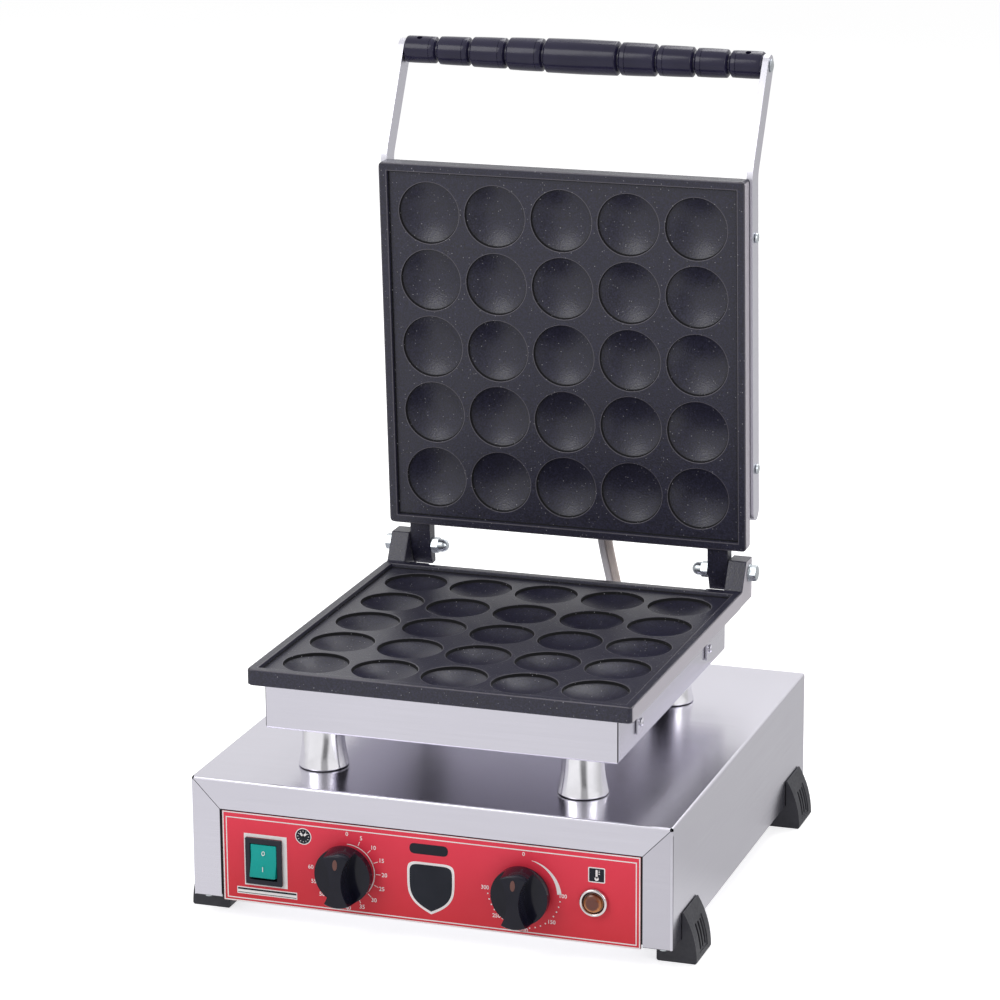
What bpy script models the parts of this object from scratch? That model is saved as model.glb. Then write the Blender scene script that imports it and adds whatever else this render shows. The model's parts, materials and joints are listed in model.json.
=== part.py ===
"""Bubble waffle maker: a steel base box on rubber feet, with two cast cup plates hinged at the back.

Metres, +Z up, front towards -Y. The origin is under the middle of the whole object, on the floor.
The lid is drawn open, leaning on its stops. It is modelled in the closed pose, round its hinge axis.
"""

import math

import bmesh
import bpy
from mathutils import Matrix, Vector

# Clearances and shared allowances
GAP = 0.0003
OVERRUN = 0.002
CURVE_STEPS = 8
ROUND_STEPS = 20
BORE_STEPS = 12
KNOB_STEPS = 32
FLARE_STEPS = 5

# Base box of folded sheet
BASE_WIDTH = 0.325
BASE_BEHIND_HINGE = 0.031
BASE_HEIGHT = 0.0814
SHEET = 0.0012
FOLD_RADIUS = 0.0015
STILE_WIDTH = 0.0195
RAIL_HEIGHT = 0.0203
RETURN_WIDTH = 0.013
VENT_WIDTH = 0.0035
VENT_HEIGHT = 0.034
VENT_PITCH = 0.010
VENT_COUNT = 6
VENT_GROUP_X = 0.085
FLOOR_VENT_LENGTH = 0.040
FLOOR_VENT_ROW_Y = 0.075

# Rubber feet
FOOT_HEIGHT = 0.016
FOOT_LENGTH = 0.0335
FOOT_INSET_FRONT = 0.021
FOOT_INSET_REAR = 0.0155
FOOT_REACH_IN = 0.0165
FOOT_REACH_OUT = 0.0101
FIN_HEIGHT = 0.0178
FIN_TOP_THICKNESS = 0.0009
FOOT_CHAMFER = 0.001
FOOT_SLOT_WIDTH = 0.0022
FOOT_SLOT_HEIGHT = 0.017
FOOT_SLOT_DEPTH = 0.0014
FOOT_SLOT_PITCH = 0.0055
FOOT_SLOT_COUNT = 3
FOOT_SLOT_RISE = 0.006

# Screws: shank, head and how deep they sit
FOOT_SCREW_SHANK = 0.002
FOOT_SCREW_HEAD = 0.004
FOOT_SCREW_HEAD_HEIGHT = 0.0022
FOOT_SCREW_SINK = 0.0085
FOOT_SCREW_INSET = 0.008
BOTTOM_SCREW_SHANK = 0.0015
BOTTOM_SCREW_HEAD = 0.0031
BOTTOM_SCREW_HEAD_HEIGHT = 0.0022
BOTTOM_SCREW_INSET_Y = 0.007
SCREW_TAIL = 0.002

# Control panel
PANEL_SIDE_GAP = 0.0016
PANEL_TOP_GAP = 0.0011
PANEL_DROP = 0.0015
PANEL_RECESS = 0.0006
PANEL_SHEET = 0.0009
PANEL_BACKING = 0.0015
PANEL_OVERLAP_SIDE = 0.007
PANEL_OVERLAP_TOP = 0.009
CONTROL_LINE = 0.028

# Rocker switch
SWITCH_INSET = 0.0289
BEZEL_WIDTH = 0.025
BEZEL_HEIGHT = 0.0315
BEZEL_THICKNESS = 0.002
SWITCH_BODY_WIDTH = 0.0214
SWITCH_BODY_HEIGHT = 0.0278
SWITCH_BODY_DEPTH = 0.026
BLADE_WIDTH = 0.0063
BLADE_THICKNESS = 0.0008
BLADE_LENGTH = 0.009
BLADE_PITCH = 0.0085
BLADE_COUNT = 3
ROCKER_WIDTH = 0.018
ROCKER_HEIGHT = 0.022
ROCKER_PIVOT_DEPTH = 0.0057
ROCKER_FACE = 0.007
ROCKER_FACE_DIP = 0.0014
ROCKER_SHOULDER = 0.001
ROCKER_HEEL = 0.004
ROCKER_HEEL_HALF = 0.0055
ROCKER_TILT = 8.0
POCKET_DEPTH = 0.012
POCKET_HEIGHT = 0.0246

# Knobs and what they turn
SWITCH_TO_TIMER = 0.0574
THERMOSTAT_TO_LAMP = 0.0468
KNOB_RADIUS = 0.020
KNOB_SKIRT = 0.008
KNOB_DEPTH = 0.022
KNOB_STANDOFF = 0.001
KNOB_EDGE = 0.0012
KNOB_DOME = 0.0022
KNOB_WAIST = 0.0055
KNOB_SCOOP_RADIUS = 0.0355
SHAFT_RADIUS = 0.003
SHAFT_IN_KNOB = 0.014
SHAFT_IN_BODY = 0.016
BUSH_RADIUS = 0.0045
BUSH_HOLE = 0.005
TIMER_BODY_SIDE = 0.046
TIMER_BODY_DEPTH = 0.030
THERMOSTAT_BODY_RADIUS = 0.018
THERMOSTAT_BODY_DEPTH = 0.028

# Signal lamp
LAMP_INSET = 0.0303
LAMP_LINE = 0.0269
LAMP_RING_RADIUS = 0.0094
LAMP_RING_THICKNESS = 0.0032
LAMP_BARREL_RADIUS = 0.0062
LAMP_BARREL_DEPTH = 0.020
LAMP_LENS_RADIUS = 0.0053
LAMP_LENS_STEM = 0.009
LAMP_LENS_DOME = 0.0026

# Posts under the pan
POST_HEIGHT = 0.0285
POST_TOP_RADIUS = 0.0136
POST_BASE_RADIUS = 0.0166
POST_LIP = 0.001
POST_INSET_X = 0.0306
POST_INSET_FRONT = 0.0239
POST_INSET_REAR = 0.0306
SPIGOT_RADIUS = 0.004
SPIGOT_LENGTH = 0.006
SPIGOT_TOP = 0.0009

# Pans of thin steel under the lower plate and over the upper one
PAN_INSET_SIDE = 0.0107
PAN_INSET_END = 0.0049
PAN_DEPTH = 0.0296
PAN_SHEET = 0.001
PAN_FOLD = 0.002
FOLD_EASE_SHARE = 0.3
COVER_INSET_END = 0.007
COVER_DEPTH = 0.024
CLIP_WIDTH = 0.014
CLIP_HEIGHT = 0.013
CLIP_THICKNESS = 0.0012
CLIP_SCREW_RADIUS = 0.0028
CLIP_SCREW_HEIGHT = 0.0018
CLIP_SCREW_SHANK = 0.0015
CLIP_INSET_END = 0.0444

# Cast cup plates
PLATE_WIDTH = 0.260
PLATE_LENGTH = 0.260
PLATE_FROM_FRONT = 0.0195
PLATE_THICKNESS = 0.0109
PLATE_RIM = 0.006
FIELD_RECESS = 0.003
PLATE_BLOCK_DEPTH = 0.006
PLATE_BLOCK_MARGIN = 0.0015
CUP_PITCH = 0.0476
CUP_RADIUS = 0.0218
CUP_WALL = 0.0025
CUP_DEPTH = 0.008
CUP_SIDES = 16
CUP_RINGS = 2

# Hinge at the back of the lower plate
HINGE_BEHIND_PLATE = 0.0175
HINGE_ABOVE_PLATE = 0.0092
CLOSED_GAP = 0.001
LID_LEAN = 3.0
EAR_THICKNESS = 0.0131
EAR_SIDE_INSET = 0.0002
EAR_TOP_ABOVE_AXIS = 0.0095
EAR_BEHIND_AXIS = 0.008
EAR_FRONT_AT_TOP = 0.0065
EAR_FRONT_AT_PLATE = 0.017
EAR_ROOT = 0.021
LUG_THICKNESS = 0.0146
LUG_SIDE_GAP = 0.0006
LUG_HALF_DEPTH = 0.0055
LUG_TAIL = 0.014
LUG_TAIL_FRONT = 0.001
LUG_ROOT = 0.006
STOP_HEIGHT = 0.0085
BOLT_RADIUS = 0.003
BOLT_HEAD_FLATS = 0.010
BOLT_HEAD_HEIGHT = 0.0042
NUT_HEX_HEIGHT = 0.005
NUT_HEIGHT = 0.0118
NUT_DOME_RADIUS = 0.0046

# Lid arms and handle
ARM_THICKNESS = 0.0043
ARM_WIDTH = 0.015
ARM_INSET = 0.0021
ARM_BEHIND_PLATE = 0.0005
ARM_START_PAST_RIM = 0.025
ARM_BEND_PAST_PLATE = 0.0015
ARM_BEND_RADIUS = 0.012
HANDLE_PAST_PLATE = 0.0668
HANDLE_BACK = 0.0507
ARM_SCREW_INSET_LOW = 0.0545
ARM_SCREW_INSET_HIGH = 0.0425
ARM_SCREW_SHANK = 0.002
ARM_SCREW_HEAD = 0.0036
ARM_SCREW_HEAD_HEIGHT = 0.0016
ARM_SCREW_BITE = 0.006
BOSS_HALF_LENGTH = 0.0075
GRIP_RING_SHARES = (0.2108, 0.4208, 0.6285, 0.8182)
GRIP_RADII = (0.01205, 0.01135, 0.01055, 0.0099, 0.0093)
GRIP_GROOVE_WIDTH = 0.0016
GRIP_GROOVE_DEPTH = 0.0014
GRIP_BORE = 0.0034
GRIP_PIN_HOLE = 0.0016
GRIP_PIN_HOLE_DEPTH = 0.0035
GRIP_PIN_HOLE_INSET = 0.0105
ROD_RADIUS = 0.003
ROD_HEAD_RADIUS = 0.0045
ROD_HEAD_HEIGHT = 0.0011

# Heating inside each plate
ELEMENT_RADIUS = 0.00325
ELEMENT_RUNS = 4
ELEMENT_SPACING = 0.046
ELEMENT_HALF_LENGTH = 0.078
ELEMENT_BEND_STEPS = 8
INSULATION_MARGIN = 0.003
LOWER_INSULATION = 0.014
UPPER_INSULATION = 0.010
INSULATION_CLEAR_OF_GLAND = 0.020
BULB_RADIUS = 0.003
BULB_LENGTH = 0.090

# Twin lead from the base to the lid
LEAD_RADIUS = 0.0032
LEAD_SPACING = 0.0068
LEAD_LID_X = 0.0195
LEAD_BASE_X = 0.032
LEAD_LID_HEIGHT = 0.0176
LEAD_BASE_FROM_REAR = 0.0155
LEAD_SLACK = 0.010
LEAD_STIFF_END = 0.036
LEAD_POINTS = 10
LEAD_TAIL = 0.004
GLAND_FLANGE_RADIUS = 0.0094
GLAND_FLANGE_HEIGHT = 0.003
GLAND_BARREL_RADIUS = 0.0081
GLAND_BARREL_LENGTH = 0.005
GLAND_BORE = 0.0071

# Mains entry at the back
INLET_INSET = 0.0475
INLET_LINE = 0.026
INLET_FLANGE_RADIUS = 0.011
INLET_FLANGE = 0.004
INLET_NOSE_RADIUS = 0.0072
INLET_NOSE = 0.010
NOSE_TAPER_SHARE = 0.85
INLET_BARREL_RADIUS = 0.0079
INLET_BARREL = 0.010
INLET_BORE = 0.0042
TERMINAL_SIZE = Vector((0.046, 0.019, 0.015))
TERMINAL_FROM_REAR = 0.045
TERMINAL_WAYS = 3
TERMINAL_WELL_RADIUS = 0.003
TERMINAL_WELL_DEPTH = 0.006

# Sizes that follow from the plates and the base
BASE_DEPTH = PLATE_FROM_FRONT + PLATE_LENGTH + HINGE_BEHIND_PLATE + BASE_BEHIND_HINGE
PANEL_WIDTH = BASE_WIDTH - 2 * (STILE_WIDTH + PANEL_SIDE_GAP)
PANEL_TOP = BASE_HEIGHT - RAIL_HEIGHT - PANEL_TOP_GAP
SWITCH_X = SWITCH_INSET - PANEL_WIDTH / 2
TIMER_X = SWITCH_X + SWITCH_TO_TIMER
LAMP_X = PANEL_WIDTH / 2 - LAMP_INSET
THERMOSTAT_X = LAMP_X - THERMOSTAT_TO_LAMP
INLET_X = BASE_WIDTH / 2 - INLET_INSET
PAN_WIDTH = PLATE_WIDTH - 2 * PAN_INSET_SIDE
PAN_LENGTH = PLATE_LENGTH - 2 * PAN_INSET_END
COVER_LENGTH = PLATE_LENGTH - 2 * COVER_INSET_END
CLIP_Y = PAN_LENGTH / 2 - CLIP_INSET_END
POST_X = PAN_WIDTH / 2 - POST_INSET_X
CUP_COLUMNS = int((PLATE_WIDTH - 2 * PLATE_RIM) / CUP_PITCH)
CUP_ROWS = int((PLATE_LENGTH - 2 * PLATE_RIM) / CUP_PITCH)
ARM_INNER_X = PLATE_WIDTH / 2 - ARM_INSET
PLATE_FAR_EDGE = HINGE_BEHIND_PLATE + PLATE_LENGTH
ARM_START = HINGE_BEHIND_PLATE + ARM_START_PAST_RIM
ARM_SCREW_LOW = HINGE_BEHIND_PLATE + ARM_SCREW_INSET_LOW
ARM_SCREW_HIGH = PLATE_FAR_EDGE - ARM_SCREW_INSET_HIGH
ARM_BEND = PLATE_FAR_EDGE + ARM_BEND_PAST_PLATE
HANDLE_ALONG = PLATE_FAR_EDGE + HANDLE_PAST_PLATE

# Places that follow, counted from the box's front face and underside
BOX_BOTTOM = FOOT_HEIGHT
BOX_TOP = BOX_BOTTOM + BASE_HEIGHT
PAN_BOTTOM = BOX_TOP + GAP + POST_HEIGHT + GAP
PAN_TOP = PAN_BOTTOM + PAN_DEPTH
PLATE_BOTTOM = PAN_TOP + GAP
PLATE_TOP = PLATE_BOTTOM + PLATE_THICKNESS
HINGE_Z = PLATE_TOP + HINGE_ABOVE_PLATE
LID_OPENING = math.radians(90.0 - LID_LEAN)

PLATE_MIDDLE_FROM_FRONT = PLATE_FROM_FRONT + PLATE_LENGTH / 2
HINGE_FROM_FRONT = PLATE_MIDDLE_FROM_FRONT + PLATE_LENGTH / 2 + HINGE_BEHIND_PLATE
PANEL_FACE_FROM_FRONT = PANEL_RECESS
KNOB_REACH = KNOB_DEPTH + KNOB_STANDOFF - PANEL_FACE_FROM_FRONT
HANDLE_FROM_HINGE = HANDLE_BACK * math.sin(LID_OPENING) - HANDLE_ALONG * math.cos(LID_OPENING)
HANDLE_REACH = HINGE_FROM_FRONT + HANDLE_FROM_HINGE + GRIP_RADII[0]
INLET_REACH = BASE_DEPTH - GAP + INLET_FLANGE + INLET_NOSE + GAP
REAR_REACH = max(HANDLE_REACH, INLET_REACH)
FRONT_Y = -(REAR_REACH - KNOB_REACH) / 2

REAR_Y = FRONT_Y + BASE_DEPTH
HINGE_Y = FRONT_Y + HINGE_FROM_FRONT
PLATE_Y = HINGE_Y - HINGE_BEHIND_PLATE - PLATE_LENGTH / 2
PANEL_Y = FRONT_Y + PANEL_RECESS
PLATE_HALF = Vector((PLATE_WIDTH / 2, PLATE_LENGTH / 2))
EAR_OUTER_X = PLATE_HALF.x - EAR_SIDE_INSET
EAR_INNER_X = EAR_OUTER_X - EAR_THICKNESS
LUG_OUTER_X = EAR_INNER_X - LUG_SIDE_GAP
LUG_INNER_X = LUG_OUTER_X - LUG_THICKNESS
LID_MIDDLE = -(HINGE_BEHIND_PLATE + PLATE_LENGTH / 2)
LID_FACE = -(HINGE_ABOVE_PLATE - CLOSED_GAP)
LID_BACK = LID_FACE + PLATE_THICKNESS
ARM_CENTRE = LID_BACK + ARM_BEHIND_PLATE + ARM_WIDTH / 2
COVER_BOTTOM = LID_BACK + GAP
COVER_TOP = COVER_BOTTOM + COVER_DEPTH
SIDES = {"left": -1, "right": 1}


def clear_scene():
    """Remove whatever the scene holds."""
    for obj in list(bpy.data.objects):
        bpy.data.objects.remove(obj)


def make_material(name, colour, roughness, metallic):
    """A plain Principled material."""
    material = bpy.data.materials.new(name)
    material.use_nodes = True
    shader = material.node_tree.nodes["Principled BSDF"]
    shader.inputs["Base Color"].default_value = (*colour, 1.0)
    shader.inputs["Roughness"].default_value = roughness
    shader.inputs["Metallic"].default_value = metallic
    return material


def link(obj, parent=None):
    """Put an object in the scene, under its parent."""
    bpy.context.scene.collection.objects.link(obj)
    obj.parent = parent
    return obj


def finish_mesh(bm, name, material=None, parent=None, smooth=False):
    """Turn a bmesh into a named object with its faces pointing out."""
    bmesh.ops.recalc_face_normals(bm, faces=bm.faces[:])
    mesh = bpy.data.meshes.new(name)
    bm.to_mesh(mesh)
    bm.free()
    if smooth:
        mesh.shade_smooth()
        mesh.set_sharp_from_angle(angle=math.radians(35.0))
    obj = link(bpy.data.objects.new(name, mesh), parent)
    if material:
        mesh.materials.append(material)
    return obj


def as_tool(obj):
    """Make an object a cutter or an addition, which isn't a piece of its own."""
    obj.hide_render = True
    obj.display_type = "WIRE"
    return obj


def combine(target, tool, operation="DIFFERENCE"):
    """Cut the tool from the target, or join it on."""
    as_tool(tool)
    modifier = target.modifiers.new(tool.name, "BOOLEAN")
    modifier.object = tool
    modifier.operation = operation
    modifier.solver = "EXACT"
    return target


def axis_matrix(axis):
    """Turn +Z to the named axis, such as "X" or "-Y"."""
    directions = {"X": (1, 0, 0), "Y": (0, 1, 0), "Z": (0, 0, 1)}
    direction = Vector(directions[axis[-1]]) * (-1 if axis[0] == "-" else 1)
    return direction.to_track_quat("Z", "Y").to_matrix().to_4x4()


def add_block(bm, low, high):
    """Add a box between two corners."""
    low, high = Vector(low), Vector(high)
    size = high - low
    place = Matrix.Translation((low + high) / 2) @ Matrix.Diagonal((*size, 1.0))
    bmesh.ops.create_cube(bm, size=1.0, matrix=place)


def block(name, low, high, **look):
    """A box between two corners."""
    bm = bmesh.new()
    add_block(bm, low, high)
    return finish_mesh(bm, name, **look)


def blocks(name, corners, **look):
    """Several separate boxes in one object."""
    bm = bmesh.new()
    for low, high in corners:
        add_block(bm, low, high)
    return finish_mesh(bm, name, **look)


def add_prism(bm, outline, axis, start, end):
    """Extrude an outline along an axis. The outline is in the two other axes, in X, Y, Z order."""
    order = {"X": (2, 0, 1), "Y": (0, 2, 1), "Z": (0, 1, 2)}[axis]
    ring = []
    for point in outline:
        values = (*point, start)
        ring.append(bm.verts.new([values[i] for i in order]))
    face = bm.faces.new(ring)
    made = bmesh.ops.extrude_face_region(bm, geom=[face])["geom"]
    shift = Vector([(0, 0, end - start)[i] for i in order])
    moved = [item for item in made if isinstance(item, bmesh.types.BMVert)]
    bmesh.ops.translate(bm, verts=moved, vec=shift)


def prism(name, outline, axis, start, end, **look):
    """One extruded outline."""
    bm = bmesh.new()
    add_prism(bm, outline, axis, start, end)
    return finish_mesh(bm, name, **look)


def add_turned(bm, profile, centre, axis, steps=ROUND_STEPS):
    """Spin a profile of (radius, height) points about an axis through centre, and close its ends."""
    place = Matrix.Translation(centre) @ axis_matrix(axis)
    points = list(profile)
    if points[0][0] > 0:
        points.insert(0, (0.0, points[0][1]))
    if points[-1][0] > 0:
        points.append((0.0, points[-1][1]))
    verts = [bm.verts.new(place @ Vector((radius, 0, height))) for radius, height in points]
    edges = [bm.edges.new(pair) for pair in zip(verts, verts[1:])]
    bmesh.ops.spin(
        bm,
        geom=verts + edges,
        cent=place @ Vector((0, 0, 0)),
        axis=place.to_3x3() @ Vector((0, 0, 1)),
        angle=math.tau,
        steps=steps,
        use_merge=True,
    )
    bmesh.ops.remove_doubles(bm, verts=bm.verts[:], dist=GAP / 100)


def turned(name, profile, centre, axis, steps=ROUND_STEPS, smooth=True, **look):
    """One turned piece."""
    bm = bmesh.new()
    add_turned(bm, profile, centre, axis, steps)
    return finish_mesh(bm, name, smooth=smooth, **look)


def add_rod(bm, radius, centre, axis, start, end, steps=ROUND_STEPS):
    """Add a plain cylinder between two heights on an axis."""
    add_turned(bm, [(radius, start), (radius, end)], centre, axis, steps)


def rods(name, rows, steps=ROUND_STEPS, **look):
    """Several separate cylinders in one object, each (radius, centre, axis, start, end)."""
    bm = bmesh.new()
    for radius, centre, axis, start, end in rows:
        add_rod(bm, radius, centre, axis, start, end, steps)
    return finish_mesh(bm, name, **look)


def stepped_box(name, rings, centre, flip=False, **look):
    """Build a box whose walls step in and out: rings of (half width, half length, height)."""
    bm = bmesh.new()
    loops = []
    for half_x, half_y, height in rings:
        z = -height if flip else height
        corners = ((-half_x, -half_y), (half_x, -half_y), (half_x, half_y), (-half_x, half_y))
        loops.append([bm.verts.new(Vector((x, y, z)) + Vector(centre)) for x, y in corners])
    bm.faces.new(loops[0])
    bm.faces.new(loops[-1])
    for lower, upper in zip(loops, loops[1:]):
        for i in range(4):
            j = (i + 1) % 4
            bm.faces.new((lower[i], lower[j], upper[j], upper[i]))
    return finish_mesh(bm, name, **look)


def tube(name, points, radius, material, parent=None, sides=2):
    """A round tube along points, with its ends closed."""
    curve = bpy.data.curves.new(name, "CURVE")
    curve.dimensions = "3D"
    curve.bevel_depth = radius
    curve.bevel_resolution = sides
    curve.use_fill_caps = True
    curve.materials.append(material)
    spline = curve.splines.new("POLY")
    spline.points.add(len(points) - 1)
    for item, point in zip(spline.points, points):
        item.co = (*point, 1.0)
    return link(bpy.data.objects.new(name, curve), parent)


def hexagon(flats):
    """Corners of a hexagon of that width across its flats."""
    radius = flats / 2 / math.cos(math.pi / 6)
    angles = [math.pi / 3 * i for i in range(6)]
    return [(radius * math.cos(a), radius * math.sin(a)) for a in angles]


def arc(centre, radius, start, end, steps):
    """Points on an arc, angles in radians, both ends included."""
    angles = [start + (end - start) * i / steps for i in range(steps + 1)]
    return [(centre[0] + radius * math.cos(a), centre[1] + radius * math.sin(a)) for a in angles]


def turning_point(name, place, turn=0.0):
    """An empty on a joint's axis, turned about X."""
    empty = bpy.data.objects.new(name, None)
    empty.location = place
    empty.rotation_euler = (turn, 0, 0)
    return link(empty)


def foot_middle(row):
    """Distance from the box's front face to a foot's middle."""
    if row == "front":
        return FOOT_INSET_FRONT + FOOT_LENGTH / 2
    return BASE_DEPTH - FOOT_INSET_REAR - FOOT_LENGTH / 2


def foot_screw_places():
    """Where the foot screws stand, as (name, x, y)."""
    x = BASE_WIDTH / 2 - FOOT_SCREW_INSET
    return [
        (f"{row}_{side}", sign * x, FRONT_Y + foot_middle(row))
        for row in ("front", "rear")
        for side, sign in SIDES.items()
    ]


def bottom_screw_places():
    """Where the screws that hold the bottom sheet stand, as (name, x, y)."""
    x = BASE_WIDTH / 2 - SHEET - RETURN_WIDTH / 2
    y = FRONT_Y + BOTTOM_SCREW_INSET_Y
    return [(side, sign * x, y) for side, sign in SIDES.items()]


def post_places():
    """Where the posts stand, as (name, x, y)."""
    front = PLATE_Y - PAN_LENGTH / 2 + POST_INSET_FRONT
    rows = {"front": front, "rear": PLATE_Y + PAN_LENGTH / 2 - POST_INSET_REAR}
    return [
        (f"{row}_{side}", sign * POST_X, y)
        for row, y in rows.items()
        for side, sign in SIDES.items()
    ]


def open_place(y, z):
    """Where a point of the lid's own frame stands in the open pose, seen from the side."""
    sine, cosine = math.sin(LID_OPENING), math.cos(LID_OPENING)
    return HINGE_Y + y * cosine + z * sine, HINGE_Z - y * sine + z * cosine


def tail_front(height):
    """How far back the front of the lugs' tails stands at a height, with the lid open."""
    upper_y, upper_z = open_place(0.0, -LUG_HALF_DEPTH)
    lower_y, lower_z = open_place(LUG_TAIL, -LUG_TAIL_FRONT)
    return upper_y + (lower_y - upper_y) * (height - upper_z) / (lower_z - upper_z)


def lead_base_place():
    """Middle of the twin lead where it enters the base's top."""
    return Vector((LEAD_BASE_X, REAR_Y - LEAD_BASE_FROM_REAR, BOX_TOP))


def lead_lid_place():
    """Middle of the twin lead where it enters the cover, in the lid's own frame."""
    return Vector((LEAD_LID_X, LID_MIDDLE + COVER_LENGTH / 2, LEAD_LID_HEIGHT))


def build_housing(steel):
    """Folded top, sides and front frame in one sheet, open behind and below."""
    half = BASE_WIDTH / 2
    housing = block(
        "housing_shell", (-half, FRONT_Y, BOX_BOTTOM), (half, REAR_Y, BOX_TOP), material=steel
    )
    bm = bmesh.new()
    bm.from_mesh(housing.data)
    folds = [
        edge
        for edge in bm.edges
        if all(v.co.z > BOX_BOTTOM + FOLD_RADIUS for v in edge.verts)
        and any(v.co.y < FRONT_Y + FOLD_RADIUS for v in edge.verts)
        or all(v.co.y < FRONT_Y + FOLD_RADIUS for v in edge.verts)
        and abs(edge.verts[0].co.x - edge.verts[1].co.x) < FOLD_RADIUS
    ]
    bmesh.ops.bevel(
        bm,
        geom=folds,
        offset=FOLD_RADIUS,
        segments=2,
        profile=0.5,
        affect="EDGES",
        material=-1,
    )
    bm.to_mesh(housing.data)
    bm.free()
    inner = half - SHEET
    lip = inner - RETURN_WIDTH
    hollow = [
        (-inner, BOX_TOP - SHEET),
        (inner, BOX_TOP - SHEET),
        (inner, BOX_BOTTOM + SHEET),
        (lip, BOX_BOTTOM + SHEET),
        (lip, BOX_BOTTOM - OVERRUN),
        (-lip, BOX_BOTTOM - OVERRUN),
        (-lip, BOX_BOTTOM + SHEET),
        (-inner, BOX_BOTTOM + SHEET),
    ]
    combine(housing, prism("housing_hollow", hollow, "Y", FRONT_Y + SHEET, REAR_Y + OVERRUN))
    window = half - STILE_WIDTH
    combine(
        housing,
        block(
            "housing_window",
            (-window, FRONT_Y - OVERRUN, BOX_BOTTOM - OVERRUN),
            (window, FRONT_Y + SHEET + OVERRUN, BOX_TOP - RAIL_HEIGHT),
        ),
    )
    down, up = BOX_TOP - SHEET - OVERRUN, BOX_TOP + OVERRUN
    rows = [(SPIGOT_RADIUS + GAP, (x, y, 0), "Z", down, up) for _, x, y in post_places()]
    gland = lead_base_place()
    rows.append((GLAND_BARREL_RADIUS + GAP, (gland.x, gland.y, 0), "Z", down, up))
    low, high = BOX_BOTTOM - OVERRUN, BOX_BOTTOM + SHEET + OVERRUN
    rows += [(FOOT_SCREW_SHANK + GAP, (x, y, 0), "Z", low, high) for _, x, y in foot_screw_places()]
    rows += [
        (BOTTOM_SCREW_SHANK + GAP, (x, y, 0), "Z", low, high) for _, x, y in bottom_screw_places()
    ]
    combine(housing, rods("housing_holes", rows, steps=BORE_STEPS))
    return housing


def build_closures(steel):
    """Back and bottom sheets with their vents."""
    side = BASE_WIDTH / 2 - SHEET - GAP
    floor = BOX_BOTTOM + SHEET + GAP
    back_front = REAR_Y - GAP - SHEET
    back = block(
        "back_panel",
        (-side, back_front, floor),
        (side, REAR_Y - GAP, BOX_TOP - SHEET - GAP),
        material=steel,
    )
    middle = BOX_BOTTOM + BASE_HEIGHT / 2
    slots = []
    for group in (-VENT_GROUP_X, 0.0):
        for i in range(VENT_COUNT):
            x = group + (i - (VENT_COUNT - 1) / 2) * VENT_PITCH
            low = (x - VENT_WIDTH / 2, back_front - OVERRUN, middle - VENT_HEIGHT / 2)
            high = (x + VENT_WIDTH / 2, REAR_Y + OVERRUN, middle + VENT_HEIGHT / 2)
            slots.append((low, high))
    combine(back, blocks("back_vents", slots))
    inlet = (INLET_X, REAR_Y, BOX_BOTTOM + INLET_LINE)
    reach = SHEET + GAP + OVERRUN
    row = (INLET_BARREL_RADIUS + GAP, inlet, "Y", -reach, OVERRUN)
    combine(back, rods("inlet_hole", [row]))

    front = FRONT_Y + SHEET + GAP + PANEL_BACKING + PANEL_SHEET
    bottom = block(
        "bottom_plate",
        (-side, front, floor),
        (side, back_front - GAP, floor + SHEET),
        material=steel,
    )
    slots = []
    middle_y = (FRONT_Y + REAR_Y) / 2
    for row_y in (-FLOOR_VENT_ROW_Y, FLOOR_VENT_ROW_Y):
        for i in range(VENT_COUNT):
            x = (i - (VENT_COUNT - 1) / 2) * VENT_PITCH * 2
            y = middle_y + row_y
            low = (x - VENT_WIDTH / 2, y - FLOOR_VENT_LENGTH / 2, floor - OVERRUN)
            high = (x + VENT_WIDTH / 2, y + FLOOR_VENT_LENGTH / 2, floor + SHEET + OVERRUN)
            slots.append((low, high))
    combine(bottom, blocks("bottom_vents", slots))
    low, high = floor - OVERRUN, floor + SHEET + OVERRUN
    rows = [(FOOT_SCREW_SHANK + GAP, (x, y, 0), "Z", low, high) for _, x, y in foot_screw_places()]
    rows += [
        (BOTTOM_SCREW_SHANK + GAP, (x, y, 0), "Z", low, high) for _, x, y in bottom_screw_places()
    ]
    combine(bottom, rods("bottom_holes", rows, steps=BORE_STEPS))


def foot_outline():
    """A right foot seen from the front: pad below the box, fin up its side, curved outside."""
    side = BASE_WIDTH / 2
    inner = side + GAP
    outer = side + FOOT_REACH_OUT
    low_corner = FOOT_CHAMFER
    top = BOX_BOTTOM + FIN_HEIGHT
    rise = top - low_corner
    run = outer - inner - FIN_TOP_THICKNESS
    bow = (rise**2 + run**2) / (2 * run)
    bulge = arc((outer - bow, low_corner), bow, 0.0, math.asin(rise / bow), CURVE_STEPS)
    return [
        (side - FOOT_REACH_IN + FOOT_CHAMFER, 0.0),
        (outer - FOOT_CHAMFER, 0.0),
        *bulge,
        (inner, top),
        (inner, BOX_BOTTOM - GAP),
        (side - FOOT_REACH_IN, BOX_BOTTOM - GAP),
        (side - FOOT_REACH_IN, FOOT_CHAMFER),
    ]


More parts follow.
